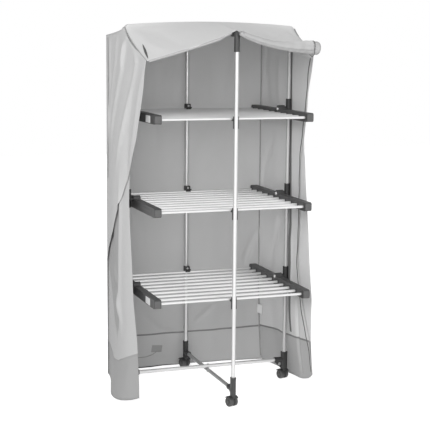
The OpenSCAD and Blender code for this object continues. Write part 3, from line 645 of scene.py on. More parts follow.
# %% [markdown]
# ## Roof of the cover
# The roof is one panel. It lies over the side frame's top tube as a ridge, falls a little to the lower
# cross frame in the middle of the front and back, and sags far more at the corners, where nothing
# holds it. So the shape blends from the ridge line to an edge curve, steep at first and then straight.

# %% Roof formulas
RIDGE_RISE, RIDGE_DROP = 12, 14
FRONT_SAG, REAR_SAG = 130, 44
FRONT_NOTCH = 18


def sag_share(y, end, power):
    """((|y| - flat) / (end - flat)) ^ power: 0 over the ridge, 1 at the edge."""
    return (np.maximum(0, np.abs(y) - FLAT_Y) / (end - FLAT_Y)) ** power


def ridge_height(x):
    """Ridge + 12 (1 - (x / reach)^2) - 14 past^3: it rises in the middle and rounds down past the bends."""
    past = np.maximum(0, np.abs(x) - BEND_END) / (WALL_X - BEND_END)
    return RIDGE_Z + RIDGE_RISE * np.maximum(0, 1 - (x / BEND_END) ** 2) - RIDGE_DROP * past ** 3


def edge_height(x, front):
    """Height of the roof's front or rear edge: from the middle down to the corner with |x|^0.85."""
    middle = np.where(front, FRONT_MID_Z, FRONT_MID_Z + 1)
    corner = RIDGE_Z - np.where(front, FRONT_SAG, REAR_SAG)
    return middle + (corner - middle) * (np.abs(x) / WALL_X) ** 0.85


def roof_height(x, y):
    """ridge + (edge - ridge) x share of the sag, which is steeper near the side walls, most at the rear."""
    ridge = ridge_height(x)
    share = sag_share(y, WALL_Y, 1 - np.where(y < 0, 0.28, 0.5) * np.abs(x) / WALL_X)
    return ridge + (edge_height(x, y < 0) - ridge) * share


def wall_top(y):
    """Height of the roof's edge over a side wall."""
    return roof_height(np.array(WALL_X), y)


def taper(y):
    """The rear corners draw in by 9 mm: 9 (y / wall)^3."""
    return CORNER_TAPER * (np.maximum(0, y) / WALL_Y) ** 3


def notched(x, y):
    """Over the front elbow the roof's edge draws back: y + 18 share^3 (1 - (x / 67)^2), never past y."""
    near = np.maximum(0, 1 - (x / (3.2 * SOCKET_D)) ** 2)
    return np.where(y < 0, y + FRONT_NOTCH * sag_share(y, WALL_Y, 1) ** 3 * near, y)


ROOF_FOLDS = [
    ([(-318, -20), (-300, -150), (-262, -285)], 22, 5),
    ([(-250, -30), (-215, -160), (-190, -290)], 26, -3.5),
    ([(300, -30), (285, -140), (250, -285)], 24, 5),
    ([(210, -60), (190, -180), (150, -290)], 26, -4),
    ([(-300, 60), (-280, 180), (-240, 280)], 26, 4),
    ([(290, 60), (270, 180), (240, 280)], 26, 4),
]


def roof_folds(x, y):
    """Soft pulls that run from the ridge ends to the sagging corners."""
    held = np.clip((np.abs(y) - FLAT_Y) / 60, 0, 1) * np.clip((WALL_X - np.abs(x)) / 40, 0, 1)
    return creases(x, y, ROOF_FOLDS) * held


# %% Roof panel
# The columns crowd towards the side walls, and the right front corner is drawn in under the roll.
COLUMN_BEND = 1.2
ROLL_DRAW = 50
across = np.sin(COLUMN_BEND * np.linspace(-1, 1, 151)) / math.sin(COLUMN_BEND)
away = np.linspace(0, 1, 46) ** 1.3
front_rows = -FLAT_Y - (WALL_Y - FLAT_Y) * away[::-1]
rear_rows = FLAT_Y + (WALL_Y - CLOTH_T - SEAM_GAP - FLAT_Y) * away
Y = np.concatenate([front_rows, rear_rows])[:, None] + 0 * across
X = (WALL_X - taper(Y) - CLOTH_T - SEAM_GAP) * across
X = X - ROLL_DRAW * smooth_step((-200 - Y) / 90) * smooth_step((X - 150) / 190)
Y = notched(X, Y)
Z = roof_height(X, Y) + roof_folds(X, Y)
# The roof's outside is the paler copy of the cloth, painted light
roof = sheet_piece("cover_roof", np.stack([X, Y, Z], -1), [LIT_ROOF_CLOTH, LINING_AND_PAINTED_SHADE])
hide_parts("cover_top")
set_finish(roof, "fabric_outer")
print(f"roof from z = {Z.min():.0f} to {Z.max():.0f} mm")

# %% [markdown]
# ## Back wall
# The back hangs straight from the roof's rear edge. It hugs the rear upright, swings out at the bottom to
# clear the wheels, and carries a few upright folds and two long diagonal creases from being packed away.
# A band of heavier cloth is sewn along its foot, so one row of the grid runs exactly along that seam.
# The rear right corner kicks out towards its hem, and carries the back, the right wall and its tapes along.

# %% Back wall
BAND_ROWS = 16
BACK_BAND_ROWS = 14
KICK, KICK_HEIGHT = 20, 170


def flare(z):
    """How far the hem swings out: spread (1 - height above the hoods / 290)^2."""
    return HEM_SPREAD * np.maximum(0, 1 - np.maximum(0, z - HOOD_TOP) / 290) ** 2


def banded_heights(low, seam, top, band_rows, rows):
    """Rows from the hem to the seam, then from the seam to the top, closer together near the seam."""
    below = low + (seam - low) * np.linspace(0, 1, band_rows + 1)[:-1, None]
    above = seam + (top - seam) * (np.linspace(0, 1, rows) ** 1.15)[:, None]
    return np.concatenate([below, above])


def back_seam(x):
    """Height of the band's seam across the back."""
    return 146 + 6 * (np.abs(x) / WALL_X) ** 3


PLEATS, PLEAT_DEPTH = 5, 3.5
BACK_FOLDS = [
    ([(-90, 1350), (-97, 1270), (-115, 1170), (-128, 1000), (-120, 850)], 24, 6),
    ([(-36, 1360), (-38, 1275), (-45, 1195), (-56, 1040)], 20, -5),
    ([(110, 1340), (120, 1231), (134, 1107), (82, 951), (66, 820)], 28, 6),
    ([(205, 1370), (185, 1294), (135, 1080), (83, 857), (70, 740)], 26, -5),
    ([(-195, 246), (-150, 204), (-104, 162), (-12, 142)], 11, 6),
    ([(150, 276), (133, 261), (94, 225), (40, 177)], 10, 6),
    ([(329, 585), (306, 541), (273, 465), (256, 408)], 13, 6),
    ([(280, 760), (250, 640), (210, 540)], 22, 4),
]


def back_depth(x, z):
    """y = wall + (flare + pleats) x (1 - (x / half)^2) + folds + ripples."""
    v = np.clip((z - HEM_Z) / (edge_height(x, False) - HEM_Z), 0, 1)
    middle = 1 - (x / HALF_BACK) ** 2
    u = (1 - x / HALF_BACK) / 2
    pleats = PLEAT_DEPTH * (1 + np.sin(2 * math.pi * PLEATS * u + math.radians(40))) * (1 - v) * middle
    y = WALL_Y + flare(z) * middle + pleats + creases(x, z, BACK_FOLDS)
    return y + ripples(x, z / 6, 5, 120, 1.0, 11) * np.clip((HALF_BACK - np.abs(x)) / 60, 0, 1)


def corner_kick(z):
    """How far the rear right corner swings out towards its hem: 20 exp(-z / 170)."""
    return KICK * np.exp(-z / KICK_HEIGHT)


def on_back(x, z, off=0.0):
    """The place on the back, or off millimetres outside it; its right corner is carried along by the kick."""
    share = np.clip(x / HALF_BACK, 0, 1) ** 3
    return np.stack([x + share * corner_kick(z), back_depth(x, z) + off, z], -1)


X = HALF_BACK * np.linspace(1, -1, 141)[None, :]
Z = banded_heights(HEM_Z - HEM_SAG, back_seam(X), edge_height(X, False), BACK_BAND_ROWS, 120)
X = X + 0 * Z
points = on_back(X, Z)
back_wall = sheet_piece("cover_back_wall", points, [CLOTH_OUTSIDE, LINING_AND_PAINTED_SHADE], band_rows=BACK_BAND_ROWS)
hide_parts("cover_back")
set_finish(back_wall, "fabric_inner")
print(f"back from y = {points[..., 1].min():.0f} to {points[..., 1].max():.0f} mm")

# %% [markdown]
# ## Side walls and thrown-back doors
# Each side wall runs from the rear seam to a free front edge that wanders with height. The doors have
# been thrown back around the front corners and lie against the walls outside. Wall and door share
# one surface: a reach from the middle that depends on depth and height. The door adds a small gap. Each
# hem rises towards its free edge, and the right side's rear half follows the kick of the rear corner.

# %% Free edges as [share of the height, y]
LEFT_LIFT, RIGHT_LIFT, FLAP_LIFT = 31, 66, 20
LEFT_INSET, RIGHT_INSET = 20, 60
LEFT_SWELL, RIGHT_SPREAD = 36, 1.13
FLAP_GAP = 7
LEFT_EDGE = [[0, -196], [0.05, -192], [0.11, -182], [0.165, -167], [0.27, -118], [0.38, -98], [0.46, -78],
             [0.54, -61], [0.6, -63], [0.72, -82], [0.86, -150], [1, -288]]
RIGHT_EDGE = [[0, -222], [0.114, -205], [0.223, -133], [0.335, -84], [0.43, -93], [0.645, -95], [0.71, -115],
              [0.81, -147], [0.87, -156], [0.94, -184], [1, -200]]
LEFT_FLAP = [[0, 266], [0.27, 264], [0.35, 256], [0.39, 187], [0.44, 63], [0.53, -20], [0.6, -57],
             [0.675, -118], [0.745, -173], [0.84, -225], [0.91, -262], [1, -290]]
RIGHT_FLAP = [[0, -211], [0.24, -216], [0.36, -184], [0.45, -167], [0.595, -135], [0.65, -127], [0.707, -110],
              [0.806, -137], [0.87, -147], [0.936, -175], [1, -190]]


def edge_at(table, v):
    """Straight lines through the stations, averaged over a short run of height so that no corner shows."""
    stations = np.array(table, float)
    shifts = np.linspace(-0.012, 0.012, 9)
    reads = [np.interp(np.clip(v + s, 0, 1), stations[:, 0], stations[:, 1]) for s in shifts]
    return np.mean(reads, axis=0)


def side_reach(side, y, z):
    """|x| = wall - taper + spread x fullness + waves, with s the share of the way to the rear and v of the
    height. On the left fullness is sin(pi s^0.55)^2; on the right the hem stays full over the front half."""
    v = np.clip((z - HEM_Z) / (RIDGE_Z - HEM_Z), 0, 1)
    front = edge_at(LEFT_EDGE if side < 0 else RIGHT_EDGE, v)
    s = np.clip((y - front) / (WALL_Y - front), 0, 1)
    if side < 0:
        spread, ripple = flare(z) + LEFT_SWELL * (1 - v) ** 0.6, 4 * (1 - v)
        fullness = np.sin(math.pi * s ** 0.55) ** 2
    else:
        spread, ripple = RIGHT_SPREAD * flare(z), 12 * (1 - v) ** 2
        fullness = (1 - np.maximum(0, 2 * s - 1) ** 2) * (1 - 0.4 * np.maximum(0, 1 - s / 0.3) ** 2)
    kick = corner_kick(z) * s ** 3 if side > 0 else 0
    return WALL_X - taper(y) + spread * fullness + ripple * s * (1 - s) * np.sin(6 * math.pi * s) + kick


LEFT_WALL_FOLDS = [
    ([(-3, 900), (-14, 671), (-18, 584), (-25, 443), (-31, 316), (-38, 180)], 13, 7),
    ([(25, 900), (14, 671), (10, 584), (3, 443), (-3, 316), (-10, 180)], 17, -8),
    ([(60, 560), (40, 470), (4, 430), (-22, 377), (-54, 310), (-60, 230)], 12, 7),
    ([(90, 560), (76, 470), (40, 430), (14, 377), (-20, 310), (-30, 240)], 15, -9),
    ([(120, 760), (100, 560), (60, 400)], 28, -4),
    ([(-150, 180), (-140, 110), (-150, 40)], 22, 4),
]
RIGHT_WALL_FOLDS = [
    ([(-90, 360), (-91, 331), (-92, 246), (-96, 120), (-98, 22)], 11, 7),
    ([(240, 1500), (262, 1240), (235, 1110), (172, 1000)], 28, 4),
    ([(160, 1010), (218, 921), (270, 820), (300, 700)], 26, 4),
    ([(140, 1330), (120, 1150), (80, 1000)], 28, -4),
    ([(60, 700), (130, 560), (210, 420)], 30, 5),
    ([(-20, 640), (-10, 480), (-30, 360)], 20, -4),
    ([(60, 300), (50, 210), (60, 130)], 26, -4),
]


def wall_folds(side, y, z):
    """Creases of a side wall, as far as they stand out from the smooth reach."""
    folds = LEFT_WALL_FOLDS if side < 0 else RIGHT_WALL_FOLDS
    return creases(y, z, folds) * smooth_step((WALL_Y - y) / 30)


LEFT_FLAP_FOLDS = [
    ([(-58, 1700), (-50, 1400), (-42, 1330), (-30, 1250), (-10, 1200)], 8, 8),
    ([(-60, 1700), (-58, 1400), (-52, 1340), (-42, 1299), (2, 1214), (70, 1102), (128, 986),
      (170, 870)], 13, 9),
    ([(-20, 1700), (-26, 1400), (-22, 1330), (-10, 1290), (36, 1200), (104, 1090)], 9, -3),
    ([(-120, 1600), (-140, 1345), (-188, 1286), (-138, 1202), (-76, 1104), (0, 956), (56, 840)], 14, 8),
    ([(-288, 1300), (-250, 1234), (-202, 1140), (-142, 999), (-70, 880)], 18, 7),
    ([(60, 1500), (90, 1280), (150, 1150), (200, 1020), (225, 900)], 18, 6),
    ([(190, 1600), (200, 1352), (190, 1206), (182, 1058), (196, 937)], 12, 6),
]
RIGHT_FLAP_FOLDS = [
    ([(40, 1300), (20, 1000), (10, 640), (20, 300)], 30, 6),
    ([(-60, 1380), (-70, 1200), (-40, 980), (-60, 760)], 18, 6),
    ([(120, 1420), (140, 1150), (110, 850), (130, 600)], 22, 6),
    ([(205, 1000), (190, 700), (215, 400), (200, 120)], 20, 5),
    ([(-60, 560), (-30, 400), (-50, 250), (-40, 60)], 20, 5),
    ([(90, 480), (100, 300), (90, 60)], 22, 5),
]


def flap_folds(side, y, z):
    """Creases of a thrown-back door; on the left they fan out from the front corner."""
    return creases(y, z, LEFT_FLAP_FOLDS if side < 0 else RIGHT_FLAP_FOLDS)


def side_point(side, y, z, off=0.0, folds=True):
    """The place on a side wall, or off millimetres outside it."""
    reach = side_reach(side, y, z) + off
    if folds:
        reach = reach + wall_folds(side, y, z)
    return np.stack([side * reach, y + 0 * z, z + 0 * y], -1)


def side_seam(side, y):
    """Height of the hem band's seam along a side wall."""
    if side < 0:
        return np.interp(y, [-190, -60, 60, 300], [210, 152, 138, 142])
    return np.interp(y, [-206, -98, 29, 108, 300], [206, 192, 178, 176, 152])


def side_grid(side, edge, rear, gap, lift, rows=150, cols=110):
    """Rows from the hem to the roof edge and columns from the free edge to the rear seam."""
    first, last = (0, 1) if side > 0 else (1, 0)
    s = np.linspace(first, last, cols)[None, :] ** 1.25
    low = HEM_Z - HEM_SAG * s + lift * (1 - s) ** (5 if side > 0 else 9)
    y0 = edge_at(edge, 0.1) + (rear - edge_at(edge, 0.1)) * s
    share = (side_seam(side, y0) - low) / (wall_top(y0) - low)
    v = banded_heights(0 * share, share, 1 + 0 * share, BAND_ROWS, rows - BAND_ROWS)
    y = edge_at(edge, v) + (rear - edge_at(edge, v)) * s
    z = low + v * (wall_top(y) - low)
    if gap == 0:
        return side_point(side, y, z)
    off = CLOTH_T + SEAM_GAP + gap * (1 - v) ** 0.5 * (1 - s ** 4) * (0.3 + 0.7 * smooth_step(v / 0.5))
    extra = flap_folds(side, y, z) + np.maximum(0, wall_folds(side, y, z))
    extra = extra * smooth_step((1 - v) * 30) * smooth_step((rear + 15 - y) / 25)
    return side_point(side, y, z, np.maximum(off + extra, 1.9), folds=False)


# The left wall's cloth is the darker copy with painted shade behind its crest
left_wall = sheet_piece("cover_left_wall", side_grid(-1, LEFT_EDGE, WALL_Y, 0, LEFT_LIFT),
                        [SHADED_LEFT_WALL_CLOTH, LINING_AND_PAINTED_SHADE], band_rows=BAND_ROWS)
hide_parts("cover_left_side")
# The right wall's lining is the paler copy, painted light
right_wall = sheet_piece("cover_right_wall", side_grid(1, RIGHT_EDGE, WALL_Y, 0, RIGHT_LIFT),
                         [CLOTH_OUTSIDE, LIT_RIGHT_LINING], band_rows=BAND_ROWS)
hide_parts("cover_right_side")
left_flap = sheet_piece("left_door_thrown_back",
                        side_grid(-1, LEFT_FLAP, WALL_Y - LEFT_INSET, FLAP_GAP, FLAP_LIFT),
                        [CLOTH_OUTSIDE, LINING_AND_PAINTED_SHADE], band_rows=BAND_ROWS)
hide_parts("left_door_flap")
# The right door's lining is the paler copy, painted light
right_flap = sheet_piece("right_door_thrown_back",
                         side_grid(1, RIGHT_FLAP, WALL_Y - RIGHT_INSET, FLAP_GAP, RIGHT_LIFT),
                         [CLOTH_OUTSIDE, LIT_DOOR_LINING], band_rows=BAND_ROWS)
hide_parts("right_door_flap")
for panel in (left_wall, left_flap, right_flap):
    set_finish(panel, "fabric_outer")
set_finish(right_wall, "fabric_inner")
print("side panels:", left_wall.name, left_flap.name, right_wall.name, right_flap.name)

# %% [markdown]
# ## Rolled door
# The front door is rolled up along the roof's front edge, from the middle to the right, where the rest of
# it bunches into a knot of folds. A rolled sheet is a spiral carried along a line. The roll is thin at the
# middle, swells towards the corner and closes over its end, and crumples make its outline uneven.

# %% Rolled door
ROLL_R, BUNCH_R = 13, 28
ROLL_START, ROLL_LENGTH = 3, WALL_X - BUNCH_R - 15
TURNS, FIRST_ANGLE = 3.2, 0.9


def roll_swell(u):
    """sin(90 u)^5: the roll swells only near its right end."""
    return np.sin(0.5 * math.pi * u) ** 5


def roll_radius(u):
    """Radius from 70 % at the thin end, through 13 mm, to the 28 mm bunch, whose end is slightly rounded."""
    r = ROLL_R * (0.7 + 0.3 * np.minimum(1, u / 0.2)) + (BUNCH_R - ROLL_R) * roll_swell(u)
    return r * np.sqrt(1 - (np.maximum(0, u - 0.97) / 0.03) ** 2 / 3)


def roll_centre(u):
    """The roll's middle line, just in front of the roof's front edge, rising as it swells."""
    r = ROLL_R + (BUNCH_R - ROLL_R) * roll_swell(u)
    x = ROLL_START + ROLL_LENGTH * u
    z = edge_height(x, True) - 8 + 24 * u ** 2 + 1.2 * (r - ROLL_R)
    return np.stack([x, -(WALL_Y + SEAM_GAP + r), z], -1)


u = np.linspace(0, 1, 170)[:, None]
turn = np.linspace(0, 1, 150)[None, :]
angle = 2 * math.pi * TURNS * turn + FIRST_ANGLE
crumple = 0.07 * np.sin(46 * u + 2 * angle) + 0.05 * np.sin(83 * u - 3 * angle + 1.0)
crumple = crumple + 0.04 * np.sin(29 * u + angle + 2.0)
loose = 0.5 * np.clip((1 - u) / 0.08, 0.3, 1)
radius = roll_radius(u) * (0.16 + 0.81 * turn) * (1 + loose * crumple * (0.4 + 0.6 * turn))
points = carried_ring(roll_centre(u[:, 0]), radius, angle)
# The roll's cloth is the darker copy, painted shade
rolled = sheet_piece("rolled_front_door", points[:, ::-1], [SHADED_ROLLED_CLOTH, SHADED_ROLLED_CLOTH], thickness=0.8)
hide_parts("rolled_door")
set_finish(rolled, "fabric_outer")
print(f"roll of {TURNS} turns, {2 * radius.max():.0f} mm thick at the bunch")

# %% [markdown]
# ## Apron over the roll
# The roof's cloth doesn't end at the roll: it runs out over it and turns down in front. A strip starts on
# the roof, leaves it smoothly and bends round the roll, with ripples that grow as it goes. Its cloth is
# the roof's paler copy, painted light, and painted shade darkens it near its hem, where the cloth turns
# away from the light.

# %% The roof's cloth runs over onto the roll
OVER = 0.36
# Painted light: as pale as the roof; painted shade: darker near its hem
APRON_CLOTH_PAINTED = cloth("apron_cloth_painted_light_and_shade", 0.70, fade=(0.012, 0.05, 0.66))
x = np.linspace(14, 272, 170)[None, :]
t = np.linspace(0, 1, 30)[:, None]
u = (x - ROLL_START) / ROLL_LENGTH
centre = roll_centre(u)
r = roll_radius(u) * 1.05 + 0.8
angle = np.radians(100 + 95 * np.clip((t - OVER) / (1 - OVER), 0, 1)) + 0 * x
share = np.clip(t / OVER, 0, 1)
r = r + 0.05 * r * ripples(x, 150 * t + 0.4 * x, 6, 44, 1.0, 5) * share
over = np.stack([x + 0 * angle, centre[..., 1] + r * np.cos(angle), centre[..., 2] + r * np.sin(angle)], -1)
start_y = -(WALL_Y - 34) + 0 * x
start = np.stack([x, start_y, roof_height(x, start_y) + roof_folds(x, start_y) + 0.6], -1)
apron_points = start + (over - start) * share[..., None]
apron = sheet_piece("roof_apron", apron_points[::-1], [APRON_CLOTH_PAINTED, LINING_AND_PAINTED_SHADE], thickness=0.8)
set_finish(apron, "fabric_outer")
print(f"apron {x.max() - x.min():.0f} mm wide")

# %% [markdown]
# ## Trims of the cover
# Seam tapes run along the hem band and up the corners, and a zip follows the right free edge. Other strips
# are painted shade and shadow: the upright's shadow on the right wall, the shade in a fold at the left
# door's rear edge, the shade along the rear hem, and the shade of the slit at the roof's front left
# corner. A dark strip runs behind the rear upright. The front edge has a rolled hem, the roof's ends a
# welt, and the roll shows its zip. A care tag is blank, and a dark patch with a thin dark line lies on
# the inside of the back. A tape is the panel's own surface read along a line and moved outwards or
# inwards by a fraction of a millimetre, so it lies on the cloth from every side. A welt is a thin cord
# along the edge.

# %% Tapes along a panel


def ribbon(name, surface, path, width, off, material, along=90, across=3, wavy=0.0, lens=False):
    """A tape that follows path = [(a, b), ...] on surface(a, b, off), with a slow wave to its edges.
    A lens is as wide as sin(pi t) ^ 0.8, so it runs out to a point at both ends."""
    path = np.asarray(path, float)
    walked = np.concatenate([[0], np.cumsum(np.linalg.norm(np.diff(path, axis=0), axis=1))])
    t = np.linspace(0, walked[-1], along)
    a, b = np.interp(t, walked, path[:, 0]), np.interp(t, walked, path[:, 1])
    da, db = np.gradient(a), np.gradient(b)
    length = np.hypot(da, db)
    a = a + wavy * np.sin(t / 17) * db / length
    shift = np.linspace(-0.5, 0.5, across)[:, None] * width
    if lens:
        shift = shift * (0.04 + 0.96 * np.sin(math.pi * t / t[-1]) ** 0.8)
    A, B = a - shift * db / length, b + shift * da / length
    points = surface(A, B, off)
    return sheet_piece(name, points, [material], thickness=0.6)


# Each of these gives the place on a panel, moved outwards by off, with its columns in the order in which
# faces point outwards.
def on_left(y, z, off):
    return side_point(-1, y, z, off)[:, ::-1]


def on_right(y, z, off):
    return side_point(1, y, z, off)


def on_roof(x, y, off):
    return np.stack([x, y, roof_height(x, y) + roof_folds(x, y) + off], -1)[:, ::-1]


def on_left_flap(y, z, off):
    v = np.clip((z - HEM_Z) / (RIDGE_Z - HEM_Z), 0, 1)
    gap = CLOTH_T + SEAM_GAP + FLAP_GAP * (1 - v) ** 0.5 * (1 - (y / WALL_Y) ** 4)
    return side_point(-1, y, z, gap + flap_folds(-1, y, z) + off, folds=False)[:, ::-1]


def seam_path(start, end, height):
    """Forty places along a seam, at the height that a formula gives."""
    places = np.linspace(start, end, 40)
    return np.stack([places, height(places)], 1)


INSIDE = -(CLOTH_T + 0.2)
TAPES = {
    "right_band_tape": (on_right, seam_path(-204, 295, lambda y: side_seam(1, y)), 7, INSIDE, SEAM_TAPE),
    "left_band_tape": (on_left, seam_path(-186, 295, lambda y: side_seam(-1, y)), 4, 0.7, BAND_OUTSIDE),
    "back_band_tape": (on_back, seam_path(328, -328, back_seam), 7, INSIDE, SEAM_TAPE),
    # Painted shadow of the right upright on the right wall
    "right_pole_tape": (on_right, [(12, 1350), (10, 1241), (2, 1063), (1, 943), (-5, 823), (-13, 642),
                                   (-18, 420), (-20, 200)], 20, INSIDE, PAINTED_UPRIGHT_SHADOW),
    "rear_corner_tape": (on_back, [(328.5, 1380), (328.5, 18)], 4, INSIDE, TAPE_AND_SHADE_GREY, 120),
    "left_corner_tape": (on_back, [(-328.5, 1380), (-328.5, 8)], 4, INSIDE, TAPE_AND_SHADE_GREY, 120),
    # A dark strip behind the rear upright
    "back_pole_tape": (on_back, [(8, 1370), (7, 1311), (5, 1096), (3, 600), (2, 160)], 8, INSIDE, TAPE_AND_SHADE_GREY),
    # Painted shade in the fold at the left door's rear edge
    "left_rear_binding": (on_left_flap, [(246, 1372), (245, 1352), (232, 1206), (226, 1058), (236, 937),
                                         (244, 820)], 11, 0.5, TAPE_AND_SHADE_GREY),
}
tapes = {name: ribbon(name, *row) for name, row in TAPES.items()}
zs = np.linspace(82, 1300, 60)
right_zip_edge = edge_at(RIGHT_EDGE, (zs - HEM_Z) / (RIDGE_Z - HEM_Z))
right_zip = ribbon("right_zip_tape", on_right, np.stack([right_zip_edge + 4, zs], 1), 6, INSIDE,
                   DARK_BINDING_AND_SHADE, along=220, wavy=1.5)
print("tapes:", ", ".join(tapes), right_zip.name)

# %% Rolled hem along the left half of the front edge
x = np.linspace(-334, -20, 120)
hem_radius = 4.2 + 0.9 * np.sin(x / 21) * np.exp(-((x + 120) / 160) ** 2)
edge_y = notched(x, np.full_like(x, -WALL_Y))
hem_line = np.stack([x, edge_y + 2.5, roof_height(x, edge_y) - 3.2], -1)
# The rolled hem uses the same darker copy, painted shade
front_hem = cord_piece("front_rolled_hem", hem_line, hem_radius, SHADED_ROLLED_CLOTH, 20)
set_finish(front_hem, "fabric_outer")

# %% Welts along the roof's ends, painted shade at its front left opening, and the zip round the roll
welts = []
for side, side_name in ((-1, "left"), (1, "right")):
    y = np.linspace(-292 if side < 0 else -195, 288, 160)
    top = wall_top(y)
    welt_line = np.stack([side * (WALL_X - taper(y) + 0.4), y, top + 0.6], -1)
    welts.append(cord_piece(f"{side_name}_roof_welt", welt_line, 1.7, BAND_OUTSIDE, 10))
y = np.linspace(-58, 6, 40)
binding_line = np.stack([WALL_X + 1.0 + 0 * y, y, wall_top(y) + 1.5], -1)
binding_radius = 0.3 + 1.9 * np.sin(math.pi * np.linspace(0, 1, 40)) ** 0.5
right_binding = cord_piece("right_roof_binding", binding_line, binding_radius, SEAM_TAPE, 10)
# Painted shade: a dark strip on the roof where its front left corner opens
slit_path = [(-317, -158), (-323, -208), (-330, -258), (-333, -280)]
painted_slit_shade = ribbon("front_left_opening", on_roof, slit_path, 8, 0.5, DARK_BINDING_AND_SHADE, 60, 5, lens=True)

ring_u = 0.915
centre = roll_centre(np.array([ring_u]))[0]
a = np.linspace(0, 2 * math.pi, 73)
zip_radius = roll_radius(np.array([ring_u]))[0] + 0.6 + 0.8 * np.sin(7 * a)
zip_line = centre + np.stack([2.0 * np.sin(3 * a + 1), zip_radius * np.cos(a), zip_radius * np.sin(a)], -1)
roll_zip = cord_piece("rolled_door_zip", zip_line, 0.9 + 0.25 * np.sin(31 * a), DARK_BINDING_AND_SHADE, 8)

# %% Blank care tag, painted shade along the rear hem, and a dark patch with a line
t = np.linspace(0, 1, 10)[None, :]
drop = np.linspace(0, 1, 12)[:, None]
tag_points = np.stack([327 + 10.5 * t + 0 * drop, 295.5 - 30 * t + 1.5 * np.sin(3 * drop) * t,
                       248 - 1.5 * t - 39 * drop - 2 * t * drop], -1)
tag = sheet_piece("blank_care_tag", tag_points, [PALE_TAPE], thickness=0.4)
# Painted shade: a dark strip along the rear hem, inside the back
back_hem_shade_strip = ribbon("back_hem_binding", on_back, [(-30, 5), (-120, 4.6), (-326, 4.4)], 5, INSIDE,
                       DARK_BINDING_AND_SHADE, lens=True)
# A dark patch and a thin dark line inside the back
patch = ribbon("blank_patch", on_back, [(-140, 83.5), (-93, 78)], 30, INSIDE, TAPE_AND_SHADE_GREY, 24, 9)
dark_line_path = [(-117, 67), (-137, 56), (-163, 49), (-202, 48)]
patch_thread = ribbon("patch_thread", on_back, dark_line_path, 2, INSIDE - 0.5, SEAM_TAPE, 30)
print("tag and patch:", tag.name, patch.name, patch_thread.name)

# %% [markdown]
# Every panel is a sheet that was cut flat and then hung. Its flat size is measured across the panel, and
# where the cut isn't a rectangle, its area is given too. The tapes and tags go with the panel they are on.

# %% Sheets


def flat_size(points_mesh):
    """Greatest width and height walked along the grid, and the area of its faces, in metres."""
    uv = np.zeros(len(points_mesh.loops) * 2)
    points_mesh.uv_layers["cloth"].data.foreach_get("uv", uv)
    width, length = uv.reshape(-1, 2).max(0)
    area = np.zeros(len(points_mesh.polygons))
    points_mesh.polygons.foreach_get("area", area)
    return float(width), float(length), float(area.sum())


SHEETS = [
    (roof, "stretched", ["side_top_tube", "cross_top_tube"],
     [front_hem, apron, painted_slit_shade, right_binding, *welts]),
    (back_wall, "hung", [roof],
     [tapes["back_band_tape"], tapes["back_pole_tape"], tapes["rear_corner_tape"], tapes["left_corner_tape"],
      back_hem_shade_strip, tag, patch, patch_thread]),
    (left_wall, "hung", [roof], [tapes["left_band_tape"]]),
    (right_wall, "hung", [roof], [tapes["right_band_tape"], tapes["right_pole_tape"], right_zip]),
    (left_flap, "hung", [left_wall], [tapes["left_rear_binding"]]),
    (right_flap, "hung", [right_wall], []),
    (rolled, "folded", [roof], [roll_zip]),
]
for panel, held, rests_on, trims in SHEETS:
    width, length, area = flat_size(panel.data)
    for trim in trims:
        if "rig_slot" not in trim:
            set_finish(trim, "fabric_inner")
    print(f"{panel.name}: flat {width:.3f} x {length:.3f} m, {area:.3f} m2")

# %% [markdown]
# ## Arm ends and blank plates
# An arm is closed at its ends by a paler cap, a rounded square with a slight crown; a left arm has a cable
# gland at its rear instead. The left arms of the top and bottom shelves carry a white plate on their
# outer face, left blank here.

# %% Rounded plates
PLATE_Y = -199


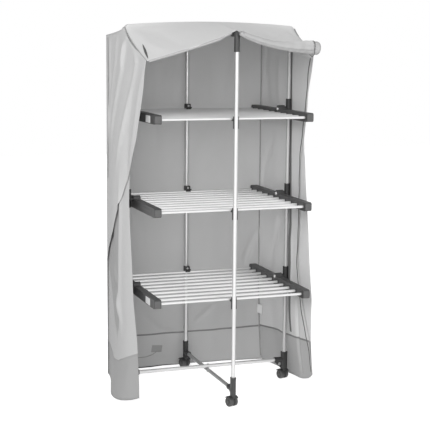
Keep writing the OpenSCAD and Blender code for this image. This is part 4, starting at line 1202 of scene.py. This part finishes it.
def rounded_plate(name, place, half_w, half_h, corner, crown, thick, material, body):
    """A plate whose outline is a rounded rectangle: ring k of the grid is the outline shrunk by k / 5,
    raised by crown x (1 - (ring radius)^2). place(a, b, c) puts it in the airer, c being outwards."""
    quarter = np.linspace(0, math.pi / 2, 6)
    outline = []
    for k, (sa, sb) in enumerate(((1, 1), (-1, 1), (-1, -1), (1, -1))):
        arc = quarter + k * math.pi / 2
        outline.append(np.stack([sa * (half_w - corner) + corner * np.cos(arc),
                                 sb * (half_h - corner) + corner * np.sin(arc)], -1))
    outline = np.concatenate(outline)
    n = len(outline)
    edge = 0.5 * min(thick, corner)
    profile = [(1, 0), (1, thick - edge), (1 - edge / half_w, thick)]
    profile += [(s, thick + crown * (1 - s * s)) for s in np.linspace(1 - edge / half_w, 0, 6)[1:-1]]
    layers = [np.concatenate([outline * s, np.full((n, 1), h)], 1) for s, h in profile]
    points = np.concatenate(layers + [[[0, 0, thick + crown]]])
    faces = []
    for k in range(len(profile) - 1):
        a = k * n + np.arange(n)
        b = k * n + np.roll(np.arange(n), -1)
        faces += np.stack([a, b, b + n, a + n], -1).tolist()
    last = (len(profile) - 1) * n
    faces += [[last + i, last + (i + 1) % n, len(points) - 1] for i in range(n)]
    faces.append(list(range(n))[::-1])
    placed = place(points[:, 0], points[:, 1], points[:, 2])
    uv = np.concatenate([points[face, :2] for face in faces]) * MM
    piece = new_piece(name, placed, faces, uv, [material], body)
    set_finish(piece, "plastic")
    return piece


def end_cap_place(side, front, z):
    """Puts a plate on an arm's front or rear end."""
    middle = side * (ARM_INNER_X + ARM_OUTER_X) / 2
    if front:
        return lambda a, b, c: np.stack([middle + a, -ARM_REACH - c, z + b], -1)
    return lambda a, b, c: np.stack([middle - a, ARM_REACH + c, z + b], -1)


for shelf, z in zip(("bottom", "middle", "top"), SHELF_Z):
    for side, side_name in ((-1, "left"), (1, "right")):
        ends = [(True, "front")] if side < 0 else [(True, "front"), (False, "rear")]
        for front, end_name in ends:
            rounded_plate(f"{shelf}_{side_name}_arm_{end_name}_cap", end_cap_place(side, front, z),
                          11.5, 13.5, 5, 0.8, 1.6, ARM_CAP_GREY, f"{shelf}_shelf")

for shelf, z in (("bottom", SHELF_Z[0]), ("top", SHELF_Z[2])):
    rounded_plate(f"{shelf}_blank_plate",
                  lambda a, b, c: np.stack([-ARM_OUTER_X - c, PLATE_Y - a, z - 1 + b], -1),
                  28, 13, 2.5, 0, 0.9, BLANK_WHITE, f"{shelf}_shelf")
plates = [piece.name for piece in bpy.data.objects if piece.name.endswith(("_cap", "_blank_plate"))]
print(len(plates), "end caps and blank plates")
